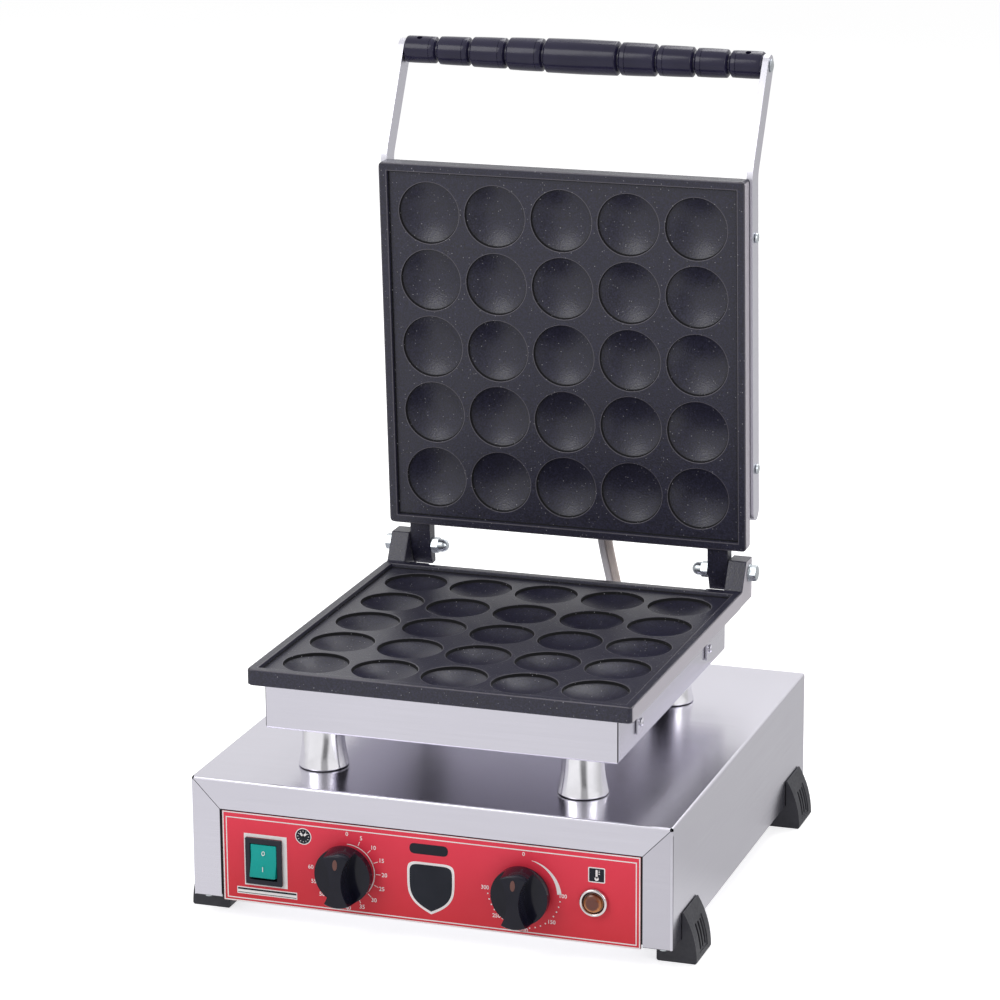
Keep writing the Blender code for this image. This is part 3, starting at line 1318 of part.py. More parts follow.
def build_heating(steel, wool, parent):
    """Heating tube and insulation behind each plate, and the thermostat's bulb."""
    lower_top = PLATE_BOTTOM - PLATE_BLOCK_DEPTH - GAP
    lower_z = lower_top - ELEMENT_RADIUS
    tube("lower_heating_element", element_points((0, PLATE_Y, lower_z)), ELEMENT_RADIUS, steel)
    upper_z = LID_BACK + PLATE_BLOCK_DEPTH + GAP + ELEMENT_RADIUS
    points = element_points((0, LID_MIDDLE, upper_z))
    tube("upper_heating_element", points, ELEMENT_RADIUS, steel, parent)

    half_x = PAN_WIDTH / 2 - PAN_SHEET - INSULATION_MARGIN
    half_y = PAN_LENGTH / 2 - PAN_SHEET - INSULATION_MARGIN
    floor = PAN_BOTTOM + PAN_SHEET + GAP
    block(
        "lower_insulation",
        (-half_x, PLATE_Y - half_y, floor),
        (half_x, PLATE_Y + half_y, floor + LOWER_INSULATION),
        material=wool,
    )
    half_y = COVER_LENGTH / 2 - PAN_SHEET - INSULATION_MARGIN
    ceiling = COVER_TOP - PAN_SHEET - GAP
    block(
        "upper_insulation",
        (-half_x, LID_MIDDLE - half_y, ceiling - UPPER_INSULATION),
        (half_x, LID_MIDDLE + half_y - INSULATION_CLEAR_OF_GLAND, ceiling),
        material=wool,
        parent=parent,
    )
    bulb_z = lower_top - BULB_RADIUS
    profile = [(BULB_RADIUS, -BULB_LENGTH / 2), (BULB_RADIUS, BULB_LENGTH / 2)]
    turned("thermostat_bulb", profile, (0, PLATE_Y, bulb_z), "Y", BORE_STEPS, material=steel)


def gland_profile():
    """A lead's bush: a flange outside the sheet, a barrel through it, and a bore."""
    return [
        (GLAND_BORE, -GLAND_BARREL_LENGTH),
        (GLAND_BARREL_RADIUS, -GLAND_BARREL_LENGTH),
        (GLAND_BARREL_RADIUS, GAP),
        (GLAND_FLANGE_RADIUS, GAP),
        (GLAND_FLANGE_RADIUS, GLAND_FLANGE_HEIGHT / 2),
        (GLAND_FLANGE_RADIUS - GLAND_FLANGE_HEIGHT / 3, GLAND_FLANGE_HEIGHT),
        (GLAND_BORE, GLAND_FLANGE_HEIGHT),
    ]


def ring_piece(name, profile, centre, axis, material, parent=None, steps=ROUND_STEPS):
    """A turned piece with a bore right through: its closed profile stays off the axis."""
    place = Matrix.Translation(centre) @ axis_matrix(axis)
    bm = bmesh.new()
    verts = [bm.verts.new(place @ Vector((radius, 0, height))) for radius, height in profile]
    edges = [bm.edges.new((verts[i - 1], verts[i])) for i in range(len(verts))]
    bmesh.ops.spin(
        bm,
        geom=verts + edges,
        cent=place @ Vector((0, 0, 0)),
        axis=place.to_3x3() @ Vector((0, 0, 1)),
        angle=math.tau,
        steps=steps,
        use_merge=True,
    )
    bmesh.ops.remove_doubles(bm, verts=bm.verts[:], dist=GAP / 100)
    return finish_mesh(bm, name, material, parent, smooth=True)


def build_leads(hinge, black, sleeve_colours):
    """Bushes in the base and the cover, and the two sleeved leads that hang between them."""
    base_place = lead_base_place()
    lid_place = lead_lid_place()
    ring_piece("base_lead_bush", gland_profile(), base_place, "Z", black)
    ring_piece("lid_lead_bush", gland_profile(), lid_place, "Y", black, parent=hinge)
    turn = Matrix.Translation((0, HINGE_Y, HINGE_Z)) @ Matrix.Rotation(-LID_OPENING, 4, "X")
    way_out = turn.to_3x3() @ Vector((0, 1, 0))
    way_up = Vector((0, 0, 1))
    clear = GLAND_FLANGE_HEIGHT + LEAD_RADIUS
    start = turn @ lid_place + way_out * clear
    end = base_place + way_up * clear
    slack = Vector((0, LEAD_SLACK, 0))
    first = start + way_out * LEAD_STIFF_END + slack
    last = end + way_up * LEAD_STIFF_END + slack
    for (name, shift), material in zip((("left", -1), ("right", 1)), sleeve_colours):
        route = [start - way_out * (clear + LEAD_TAIL)]
        for i in range(LEAD_POINTS):
            t = i / (LEAD_POINTS - 1)
            s = 1 - t
            route.append(s**3 * start + 3 * s**2 * t * first + 3 * s * t**2 * last + t**3 * end)
        route.append(end - way_up * (clear + LEAD_TAIL))
        aside = Vector((shift * LEAD_SPACING / 2, 0, 0))
        tube(f"link_lead_{name}", [point + aside for point in route], LEAD_RADIUS, material)


def build_inlet(black, cream):
    """Bush for the mains lead in the back panel, and the terminal block behind it."""
    place = (INLET_X, REAR_Y - GAP, BOX_BOTTOM + INLET_LINE)
    profile = [
        (INLET_BORE, -SHEET - INLET_BARREL),
        (INLET_BARREL_RADIUS, -SHEET - INLET_BARREL),
        (INLET_BARREL_RADIUS, GAP),
        (INLET_FLANGE_RADIUS, GAP),
        (INLET_FLANGE_RADIUS, INLET_FLANGE),
        (INLET_NOSE_RADIUS, INLET_FLANGE + GAP),
        (INLET_NOSE_RADIUS * NOSE_TAPER_SHARE, INLET_FLANGE + INLET_NOSE),
        (INLET_BORE, INLET_FLANGE + INLET_NOSE),
    ]
    ring_piece("mains_inlet_bush", profile, place, "Y", black)
    floor = BOX_BOTTOM + 2 * (SHEET + GAP)
    centre = Vector((INLET_X, REAR_Y - TERMINAL_FROM_REAR, floor))
    half = TERMINAL_SIZE / 2
    block_top = floor + TERMINAL_SIZE.z
    terminal = block(
        "terminal_block",
        (centre.x - half.x, centre.y - half.y, floor),
        (centre.x + half.x, centre.y + half.y, block_top),
        material=cream,
    )
    pitch = TERMINAL_SIZE.x / TERMINAL_WAYS
    rows = []
    for i in range(TERMINAL_WAYS):
        x = centre.x + (i - (TERMINAL_WAYS - 1) / 2) * pitch
        well = (x, centre.y, block_top)
        rows.append((TERMINAL_WELL_RADIUS, well, "Z", -TERMINAL_WELL_DEPTH, OVERRUN))
    combine(terminal, rods("terminal_wells", rows, steps=BORE_STEPS))


def main():
    """Build the whole waffle maker."""
    clear_scene()
    steel = make_material("brushed_steel", (0.66, 0.65, 0.68), 0.34, 1.0)
    aluminium = make_material("aluminium", (0.80, 0.80, 0.83), 0.25, 1.0)
    zinc = make_material("zinc_plate", (0.72, 0.74, 0.76), 0.28, 1.0)
    chrome = make_material("chrome", (0.85, 0.85, 0.87), 0.08, 1.0)
    black_cast = make_material("cast_coating", (0.035, 0.035, 0.042), 0.42, 0.0)
    black = make_material("black_plastic", (0.02, 0.02, 0.024), 0.22, 0.0)
    rubber = make_material("rubber", (0.035, 0.035, 0.04), 0.7, 0.0)
    red = make_material("red_print", (0.72, 0.04, 0.06), 0.4, 0.0)
    green = make_material("green_rocker", (0.0, 0.38, 0.30), 0.25, 0.0)
    amber = make_material("amber_lens", (0.75, 0.25, 0.04), 0.15, 0.0)
    wool = make_material("ceramic_wool", (0.85, 0.83, 0.78), 0.95, 0.0)
    cream = make_material("ceramic", (0.82, 0.79, 0.70), 0.5, 0.0)
    sleeve_grey = make_material("sleeve_grey", (0.74, 0.71, 0.73), 0.8, 0.0)
    sleeve_sand = make_material("sleeve_sand", (0.83, 0.77, 0.72), 0.8, 0.0)

    build_housing(steel)
    build_closures(steel)
    build_feet(rubber, zinc)
    panel_rear = build_panel(red)
    build_switch(black, green)
    build_bodies(panel_rear, cream, black)
    build_knob("timer", TIMER_X, black, steel)
    build_knob("thermostat", THERMOSTAT_X, black, steel)
    build_lamp(chrome, amber)
    build_posts(aluminium)

    hinge = turning_point("lid_hinge", (0, HINGE_Y, HINGE_Z), -LID_OPENING)
    build_pans(steel, hinge)
    build_lower_plate(black_cast)
    build_upper_plate(black_cast, hinge)
    build_hinge_bolts(zinc)
    build_arms(aluminium, zinc, hinge)
    build_handle(black, steel, hinge)
    build_heating(steel, wool, hinge)
    build_leads(hinge, black, (sleeve_grey, sleeve_sand))
    build_inlet(black, cream)


main()
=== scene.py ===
"""Studio scene of a bubble waffle maker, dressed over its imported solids."""

from __future__ import annotations

import json
import logging
import math
from collections.abc import Iterable, Sequence
from dataclasses import dataclass, field
from enum import Enum
from itertools import pairwise

import bmesh
import bpy
from bmesh.types import BMEdge, BMesh, BMFace, BMVert
from mathutils import Matrix, Vector
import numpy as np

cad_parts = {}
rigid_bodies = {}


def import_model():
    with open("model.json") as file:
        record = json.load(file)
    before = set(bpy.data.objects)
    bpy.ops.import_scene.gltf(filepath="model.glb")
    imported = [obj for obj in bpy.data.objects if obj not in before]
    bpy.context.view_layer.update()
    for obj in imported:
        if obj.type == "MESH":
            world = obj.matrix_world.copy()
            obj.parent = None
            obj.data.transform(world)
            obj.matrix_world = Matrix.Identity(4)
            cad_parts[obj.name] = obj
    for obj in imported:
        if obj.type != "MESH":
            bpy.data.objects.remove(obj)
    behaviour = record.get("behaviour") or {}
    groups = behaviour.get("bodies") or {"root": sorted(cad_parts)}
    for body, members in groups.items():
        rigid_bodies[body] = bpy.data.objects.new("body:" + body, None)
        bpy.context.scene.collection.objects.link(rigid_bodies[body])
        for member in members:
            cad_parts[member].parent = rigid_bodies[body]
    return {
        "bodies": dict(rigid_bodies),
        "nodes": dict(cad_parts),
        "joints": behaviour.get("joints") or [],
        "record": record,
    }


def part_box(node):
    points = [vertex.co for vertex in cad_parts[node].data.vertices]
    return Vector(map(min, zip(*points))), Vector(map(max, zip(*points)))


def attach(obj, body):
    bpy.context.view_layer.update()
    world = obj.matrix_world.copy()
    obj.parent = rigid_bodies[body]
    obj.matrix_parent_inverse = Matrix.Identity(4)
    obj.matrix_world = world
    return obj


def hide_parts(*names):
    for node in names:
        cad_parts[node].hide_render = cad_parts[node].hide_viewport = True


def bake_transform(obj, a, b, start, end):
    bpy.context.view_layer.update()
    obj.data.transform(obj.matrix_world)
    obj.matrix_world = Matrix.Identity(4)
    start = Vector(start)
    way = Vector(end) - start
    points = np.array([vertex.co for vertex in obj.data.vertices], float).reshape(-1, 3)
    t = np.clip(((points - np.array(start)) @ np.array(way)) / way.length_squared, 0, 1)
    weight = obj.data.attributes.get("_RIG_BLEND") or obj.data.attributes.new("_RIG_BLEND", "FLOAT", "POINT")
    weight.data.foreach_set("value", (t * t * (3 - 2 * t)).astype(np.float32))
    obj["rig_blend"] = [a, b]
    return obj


LOG = logging.getLogger("waffle_maker")

Colour = tuple[float, float, float]
Point = tuple[float, float]
Value = bpy.types.NodeSocket | float | Colour


class Body(Enum):
    """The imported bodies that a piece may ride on."""

    BASE = "base"
    LID = "lid"
    ROCKER = "rocker"
    TIMER = "timer"
    THERMOSTAT = "thermostat"


class Side(Enum):
    """The two sides of the appliance, with the sign of their X."""

    LEFT = -1
    RIGHT = 1

    @property
    def label(self) -> str:
        """Return the side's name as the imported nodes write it."""
        return self.name.lower()


class Row(Enum):
    """The two rows in which feet, posts and clips stand."""

    FRONT = "front"
    REAR = "rear"


class Ink(Enum):
    """Printing inks on the control panel, with the height they stand at."""

    WHITE = 0.00005
    BLACK = 0.0001
    TOP_WHITE = 0.00015


# Places shared by several sub-assemblies, in metres.
HINGE = Vector((0.0, 0.1372, 0.1765))
LID_TURN = Matrix.Translation(HINGE) @ Matrix.Rotation(math.radians(-87.0), 4, "X")
LID_OUT = LID_TURN.to_3x3() @ Vector((0, 1, 0))
PLATE_MIDDLE_Y = -0.0103
LID_MIDDLE_Y = -0.1475
CONTROL_Z = 0.044
# A flat outline's own x and y stand for these directions before it is extruded.
FACING_FRONT = Matrix(((1, 0, 0, 0), (0, 0, -1, 0), (0, 1, 0, 0), (0, 0, 0, 1)))
FACING_SIDE = Matrix(((0, 0, 1, 0), (1, 0, 0, 0), (0, 1, 0, 0), (0, 0, 0, 1)))


@dataclass(frozen=True)
class Span:
    """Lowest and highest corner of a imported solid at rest."""

    low: Vector
    high: Vector

    @classmethod
    def of(cls, node: str) -> Span:
        """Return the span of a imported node."""
        return cls(*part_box(node))

    @property
    def middle(self) -> Vector:
        """Return the middle of the span."""
        return (self.low + self.high) / 2


# ---------------------------------------------------------------- shader sketching


class Sketch:
    """Short calls that add and join the nodes of one shader tree."""

    def __init__(self, tree: bpy.types.NodeTree) -> None:
        """Keep the tree that the nodes go into."""
        self.tree = tree

    def add(self, kind: str, **settings: object) -> bpy.types.Node:
        """Add a node.

        Args:
            kind: Blender's name of the node type.
            settings: properties to set on it.

        Returns:
            The new node.
        """
        node = self.tree.nodes.new(kind)
        for name, value in settings.items():
            setattr(node, name, value)
        return node

    def feed(self, socket: bpy.types.NodeSocket, value: Value) -> None:
        """Join or set an input.

        Args:
            socket: the input socket.
            value: an output socket to join, or a plain value to set.
        """
        if isinstance(value, bpy.types.NodeSocket):
            self.tree.links.new(value, socket)
        elif isinstance(value, tuple) and len(socket.default_value) == 4:
            socket.default_value = (*value, 1.0)
        else:
            socket.default_value = value

    def object_place(self) -> bpy.types.NodeSocket:
        """Return the object coordinates."""
        return self.add("ShaderNodeTexCoord").outputs["Object"]

    def object_normal(self) -> bpy.types.NodeSocket:
        """Return the surface's normal in the object's own axes."""
        return self.add("ShaderNodeTexCoord").outputs["Normal"]

    def stretched(self, vector: Value, scale: Colour) -> bpy.types.NodeSocket:
        """Scale a vector along each axis.

        Args:
            vector: the vector.
            scale: the factors.

        Returns:
            The scaled vector.
        """
        node = self.add("ShaderNodeMapping")
        self.feed(node.inputs["Vector"], vector)
        node.inputs["Scale"].default_value = scale
        return node.outputs["Vector"]

    def noise(self, vector: Value, scale: float, detail: float = 2.0) -> bpy.types.NodeSocket:
        """Add noise between 0 and 1.

        Args:
            vector: where it is read.
            scale: how fine it is.
            detail: how many finer layers it has.

        Returns:
            The noise value.
        """
        node = self.add("ShaderNodeTexNoise")
        self.feed(node.inputs["Vector"], vector)
        self.feed(node.inputs["Scale"], scale)
        node.inputs["Detail"].default_value = detail
        return node.outputs["Fac"]

    def figure(self, operation: str, *values: Value) -> bpy.types.NodeSocket:
        """Work out a number.

        Args:
            operation: Blender's name of the sum.
            values: what goes into it, in order.

        Returns:
            The result.
        """
        node = self.add("ShaderNodeMath", operation=operation)
        for socket, value in zip(node.inputs, values):
            self.feed(socket, value)
        return node.outputs[0]

    def axes(self, vector: Value) -> bpy.types.bpy_prop_collection:
        """Split a vector.

        Args:
            vector: the vector.

        Returns:
            Its X, Y and Z.
        """
        node = self.add("ShaderNodeSeparateXYZ")
        self.feed(node.inputs[0], vector)
        return node.outputs

    def spread(self, value: Value, old: Point, new: Point) -> bpy.types.NodeSocket:
        """Carry a value from one range to another, held at its ends.

        Args:
            value: the value.
            old: the range it comes from.
            new: the range it goes to.

        Returns:
            The new value.
        """
        node = self.add("ShaderNodeMapRange")
        self.feed(node.inputs["Value"], value)
        for name, number in zip(("From Min", "From Max", "To Min", "To Max"), (*old, *new)):
            node.inputs[name].default_value = number
        return node.outputs["Result"]

    def blended(self, share: Value, first: Value, second: Value) -> bpy.types.NodeSocket:
        """Blend two colours.

        Args:
            share: how much of the second there is.
            first: the first colour.
            second: the second colour.

        Returns:
            The blend.
        """
        node = self.add("ShaderNodeMix", data_type="RGBA")
        self.feed(node.inputs["Factor"], share)
        self.feed(node.inputs[6], first)
        self.feed(node.inputs[7], second)
        return node.outputs[2]

    def bumped(self, height: Value, strength: float, distance: float) -> bpy.types.NodeSocket:
        """Turn a height into a bumped normal.

        Args:
            height: the height.
            strength: how far the normal follows it.
            distance: how high a height of one stands.

        Returns:
            The normal.
        """
        node = self.add("ShaderNodeBump")
        node.inputs["Strength"].default_value = strength
        node.inputs["Distance"].default_value = distance
        self.feed(node.inputs["Height"], height)
        return node.outputs["Normal"]

    def effect(self, group: bpy.types.NodeTree, **values: Value) -> bpy.types.Node:
        """Place a shared effect.

        Args:
            group: the node group.
            values: its inputs by name.

        Returns:
            The group's node.
        """
        node = self.add("ShaderNodeGroup", node_tree=group)
        for name, value in values.items():
            self.feed(node.inputs[name], value)
        return node


class Effects:
    """Node groups that several finishes share, each built once."""

    GAP_AZIMUTH = 0.40
    GAP_EDGES = (0.12, 0.34)
    GAP_LEVEL = 0.1
    REAR_EDGES = (1.0, 1.7)

    @staticmethod
    def _start(
        name: str, inputs: Iterable[tuple[str, str, float]], outputs: Iterable[str]
    ) -> tuple[bpy.types.NodeTree, Sketch, dict[str, bpy.types.NodeSocket], bpy.types.Node]:
        """Make an empty group.

        Args:
            name: the group's name.
            inputs: rows of name, kind and default value.
            outputs: names of its value outputs.

        Returns:
            The group, its sketch, its inputs by name, and its output node.
        """
        group = bpy.data.node_groups.new(name, "ShaderNodeTree")
        for label, kind, default in inputs:
            made = group.interface.new_socket(label, in_out="INPUT", socket_type=kind)
            if kind == "NodeSocketFloat":
                made.default_value = default
        for label in outputs:
            group.interface.new_socket(label, in_out="OUTPUT", socket_type="NodeSocketFloat")
        sketch = Sketch(group)
        entry = sketch.add("NodeGroupInput")
        leaving = sketch.add("NodeGroupOutput")
        return group, sketch, {s.name: s for s in entry.outputs if s.name}, leaving

    @classmethod
    def grain(cls) -> bpy.types.NodeTree:
        """Return the brushed grain: fine streaks along X, and along Y on the sides.

        Returns:
            A group with Vector and Fineness in, and Grain out.
        """
        if found := bpy.data.node_groups.get("brushed_grain"):
            return found
        rows = [
            ("Vector", "NodeSocketVector", 0.0),
            ("Fineness", "NodeSocketFloat", 900.0),
        ]
        group, sketch, entry, leaving = cls._start("brushed_grain", rows, ["Grain"])
        streaks = []
        for stretch in ((0.012, 1.0, 1.0), (1.0, 0.012, 1.0)):
            place = sketch.stretched(entry["Vector"], stretch)
            fine = sketch.noise(place, entry["Fineness"], 3.0)
            broad = sketch.noise(place, sketch.figure("MULTIPLY", entry["Fineness"], 0.22), 2.0)
            broad = sketch.figure("MULTIPLY", broad, 0.4)
            streaks.append(sketch.figure("MULTIPLY_ADD", fine, 0.6, broad))
        turned = sketch.figure("ABSOLUTE", sketch.axes(sketch.object_normal())[0])
        sideways = sketch.figure("GREATER_THAN", turned, 0.7)
        chosen = sketch.add("ShaderNodeMix", data_type="FLOAT")
        sketch.feed(chosen.inputs[0], sideways)
        sketch.feed(chosen.inputs[2], streaks[0])
        sketch.feed(chosen.inputs[3], streaks[1])
        sketch.feed(leaving.inputs["Grain"], chosen.outputs[0])
        return group

    @classmethod
    def mottle(cls) -> bpy.types.NodeTree:
        """Return slow cloudy variation with a finer part laid over it.

        Returns:
            A group with Vector and Scale in, and Cloud and Fine out.
        """
        if found := bpy.data.node_groups.get("mottle"):
            return found
        rows = [("Vector", "NodeSocketVector", 0.0), ("Scale", "NodeSocketFloat", 12.0)]
        group, sketch, entry, leaving = cls._start("mottle", rows, ["Cloud", "Fine"])
        cloud = sketch.noise(entry["Vector"], entry["Scale"], 3.0)
        finer = sketch.figure("MULTIPLY", entry["Scale"], 9.0)
        fine = sketch.noise(entry["Vector"], finer, 4.0)
        sketch.feed(leaving.inputs["Cloud"], sketch.spread(cloud, (0.3, 0.7), (0.0, 1.0)))
        sketch.feed(leaving.inputs["Fine"], sketch.spread(fine, (0.3, 0.7), (0.0, 1.0)))
        return group

    @classmethod
    def speckle(cls) -> bpy.types.NodeTree:
        """Return the pebbled skin of a baked coating.

        Returns:
            A group with Vector and Scale in, and Pebble and Glint out.
        """
        if found := bpy.data.node_groups.get("speckle"):
            return found
        rows = [("Vector", "NodeSocketVector", 0.0), ("Scale", "NodeSocketFloat", 1100.0)]
        group, sketch, entry, leaving = cls._start("speckle", rows, ["Pebble", "Glint"])
        pebble = sketch.noise(entry["Vector"], entry["Scale"], 2.0)
        cells = sketch.add("ShaderNodeTexVoronoi")
        sketch.feed(cells.inputs["Vector"], entry["Vector"])
        sketch.feed(cells.inputs["Scale"], sketch.figure("MULTIPLY", entry["Scale"], 0.8))
        glint = sketch.spread(cells.outputs["Distance"], (0.12, 0.30), (1.0, 0.0))
        chance = sketch.add("ShaderNodeSeparateColor")
        sketch.feed(chance.inputs[0], cells.outputs["Color"])
        few = sketch.spread(chance.outputs[0], (0.90, 0.97), (0.0, 1.0))
        sketch.feed(leaving.inputs["Pebble"], pebble)
        sketch.feed(leaving.inputs["Glint"], sketch.figure("MULTIPLY", glint, few))
        return group

    @classmethod
    def weave(cls) -> bpy.types.NodeTree:
        """Return a braided sleeve's crossing strands, read from a UV map.

        Returns:
            A group with Vector and Strands in, and Strand and Crevice out.
        """
        if found := bpy.data.node_groups.get("weave"):
            return found
        rows = [("Vector", "NodeSocketVector", 0.0), ("Strands", "NodeSocketFloat", 12.0)]
        group, sketch, entry, leaving = cls._start("weave", rows, ["Strand", "Crevice"])
        around, along, _ = sketch.axes(entry["Vector"])
        waves = []
        for operation in ("ADD", "SUBTRACT"):
            slant = sketch.figure(operation, around, along)
            turns = sketch.figure("MULTIPLY", slant, entry["Strands"])
            angle = sketch.figure("MULTIPLY", turns, math.tau)
            waves.append(sketch.spread(sketch.figure("SINE", angle), (-1.0, 1.0), (0.0, 1.0)))
        strand = sketch.figure("MAXIMUM", waves[0], waves[1])
        sketch.feed(leaving.inputs["Strand"], strand)
        sketch.feed(leaving.inputs["Crevice"], sketch.spread(strand, (0.2, 0.7), (1.0, 0.0)))
        return group

    @classmethod
    def surroundings(cls) -> bpy.types.NodeTree:
        """Return how the studio's brightness changes round the object.

        Returns:
            A group with Vector in, and Level and Rear out.
        """
        if found := bpy.data.node_groups.get("surroundings"):
            return found
        rows = [("Vector", "NodeSocketVector", 0.0)]
        group, sketch, entry, leaving = cls._start("surroundings", rows, ["Level", "Rear"])
        x, y, _ = sketch.axes(entry["Vector"])
        azimuth = sketch.figure("ARCTAN2", x, sketch.figure("MULTIPLY", y, -1.0))
        off = sketch.figure("ABSOLUTE", sketch.figure("SUBTRACT", azimuth, cls.GAP_AZIMUTH))
        level = sketch.spread(off, cls.GAP_EDGES, (cls.GAP_LEVEL, 1.0))
        sketch.feed(leaving.inputs["Level"], level)
        rear = sketch.spread(sketch.figure("ABSOLUTE", azimuth), cls.REAR_EDGES, (0.0, 1.0))
        sketch.feed(leaving.inputs["Rear"], rear)
        return group


# ---------------------------------------------------------------- finishes


@dataclass(frozen=True)
class Finish:
    """A surface finish with the record's slot that it stands for."""

    name: str
    slot: str
    colour: Colour
    roughness: float

    def material(self) -> bpy.types.Material:
        """Return the finish as a material, made on first use.

        Returns:
            The material.
        """
        if found := bpy.data.materials.get(self.name):
            return found
        made = bpy.data.materials.new(self.name)
        made.use_nodes = True
        sketch = Sketch(made.node_tree)
        shader = made.node_tree.nodes["Principled BSDF"]
        self.paint(sketch, shader)
        return made

    def toned(self, factor: float) -> Colour:
        """Return the finish's colour times a factor."""
        return tuple(c * factor for c in self.colour)

    def paint(self, sketch: Sketch, shader: bpy.types.Node) -> None:
        """Lay slow variation in colour and roughness.

        Args:
            sketch: the material's tree.
            shader: its Principled shader.
        """
        cloud = sketch.effect(Effects.mottle(), Vector=sketch.object_place(), Scale=25.0)
        colour = sketch.blended(cloud.outputs["Cloud"], self.colour, self.toned(0.86))
        sketch.feed(shader.inputs["Base Color"], colour)
        rough = sketch.spread(
            cloud.outputs["Fine"], (0.0, 1.0), (self.roughness * 0.9, self.roughness * 1.12)
        )
        sketch.feed(shader.inputs["Roughness"], rough)


@dataclass(frozen=True)
class BrushedSteel(Finish):
    """Brushed stainless sheet with wiped, slightly cloudy roughness."""

    depth: float = 0.015
    tarnish: float = 0.05

    def paint(self, sketch: Sketch, shader: bpy.types.Node) -> None:
        """Lay the grain, the cloudiness and the wipe marks.

        Args:
            sketch: the material's tree.
            shader: its Principled shader.
        """
        place = sketch.object_place()
        grain = sketch.effect(Effects.grain(), Vector=place, Fineness=1700.0).outputs["Grain"]
        cloud = sketch.effect(Effects.mottle(), Vector=place, Scale=7.0)
        darker = self.toned(1 - self.tarnish)
        tinted = sketch.blended(cloud.outputs["Cloud"], self.colour, darker)
        streak = sketch.spread(grain, (0.35, 0.65), (0.0, 0.16))
        shaded = sketch.blended(streak, tinted, self.toned(0.8))
        # Painted shade: the face attribute 'shade' darkens the seam grooves towards black and gives the
        # right stile's front a darker tone that stands in for its darker reflection.
        shade = sketch.add("ShaderNodeAttribute", attribute_name="shade").outputs["Fac"]
        shaded = sketch.blended(shade, shaded, (0.015, 0.015, 0.018))
        sketch.feed(shader.inputs["Base Color"], shaded)
        shader.inputs["Metallic"].default_value = 1.0
        rough = sketch.spread(grain, (0.3, 0.7), (self.roughness * 0.9, self.roughness * 1.1))
        wiped = sketch.figure("MULTIPLY_ADD", cloud.outputs["Fine"], self.roughness * 0.08, rough)
        sketch.feed(shader.inputs["Roughness"], wiped)
        sketch.feed(shader.inputs["Normal"], sketch.bumped(grain, self.depth, 0.0001))


@dataclass(frozen=True)
class TurnedMetal(Finish):
    """Turned, polished or plated metal with faint tool rings and cloudiness."""

    depth: float = 0.03

    def paint(self, sketch: Sketch, shader: bpy.types.Node) -> None:
        """Lay the tool rings and the cloudiness.

        Args:
            sketch: the material's tree.
            shader: its Principled shader.
        """
        place = sketch.object_place()
        cloud = sketch.effect(Effects.mottle(), Vector=place, Scale=60.0)
        colour = sketch.blended(cloud.outputs["Cloud"], self.colour, self.toned(0.88))
        sketch.feed(shader.inputs["Base Color"], colour)
        shader.inputs["Metallic"].default_value = 1.0
        rough = sketch.spread(
            cloud.outputs["Fine"], (0.0, 1.0), (self.roughness * 0.75, self.roughness * 1.35)
        )
        sketch.feed(shader.inputs["Roughness"], rough)
        rings = sketch.noise(sketch.stretched(place, (0.02, 0.02, 1.0)), 1800.0, 2.0)
        sketch.feed(shader.inputs["Normal"], sketch.bumped(rings, self.depth, 0.0001))


@dataclass(frozen=True)
class CastCoating(Finish):
    """Baked dark coating with a fine pebbled skin, small glints, painted sheen on its right-facing outer
    sides, painted highlights along edges and painted shade in cup walls.
    """

    bare: Colour = (0.48, 0.45, 0.50)
    worn: Colour = (0.13, 0.12, 0.145)
    bare_beyond: float = 0.1295

    def paint(self, sketch: Sketch, shader: bpy.types.Node) -> None:
        """Lay the pebbles, the glints, the cloudiness, the painted sheen, the painted edge highlights and
        the painted shade in the cup walls.

        Args:
            sketch: the material's tree.
            shader: its Principled shader.
        """
        place = sketch.object_place()
        skin = sketch.effect(Effects.speckle(), Vector=place, Scale=900.0)
        cloud = sketch.effect(Effects.mottle(), Vector=place, Scale=30.0)
        warm = (self.colour[0] * 1.3, self.colour[1] * 1.25, self.colour[2] * 0.95)
        base = sketch.blended(cloud.outputs["Cloud"], self.colour, warm)
        grainy = sketch.spread(skin.outputs["Pebble"], (0.38, 0.66), (0.0, 0.9))
        base = sketch.blended(grainy, base, self.toned(2.4))
        # Painted sheen: faces turned to +X on the right outer side take a pale colour that stands in for
        # their reflection at a grazing angle.
        side = sketch.spread(sketch.axes(sketch.object_normal())[0], (0.8, 0.95), (0.0, 1.0))
        outer = sketch.figure("GREATER_THAN", sketch.axes(place)[0], self.bare_beyond)
        base = sketch.blended(sketch.figure("MULTIPLY", side, outer), base, self.bare)
        # Painted highlight: a paler colour along the cup and rim edges.
        worn = sketch.add("ShaderNodeAttribute", attribute_name="painted_edge_highlight").outputs["Fac"]
        base = sketch.blended(worn, base, self.worn)
        # Painted shade: near black in the cup walls and at the rim's foot.
        wall = sketch.add("ShaderNodeAttribute", attribute_name="cup_wall_shade").outputs["Fac"]
        base = sketch.blended(wall, base, self.toned(0.1))
        glint = sketch.figure("MULTIPLY", skin.outputs["Glint"], 0.7)
        lit = sketch.blended(glint, base, (0.50, 0.49, 0.52))
        sketch.feed(shader.inputs["Base Color"], lit)
        rough = sketch.spread(
            skin.outputs["Pebble"], (0.3, 0.7), (self.roughness * 0.85, self.roughness * 1.2)
        )
        sketch.feed(shader.inputs["Roughness"], sketch.figure("MAXIMUM", rough, wall))
        height = sketch.figure("ADD", skin.outputs["Pebble"], glint)
        sketch.feed(shader.inputs["Normal"], sketch.bumped(height, 0.5, 0.0004))


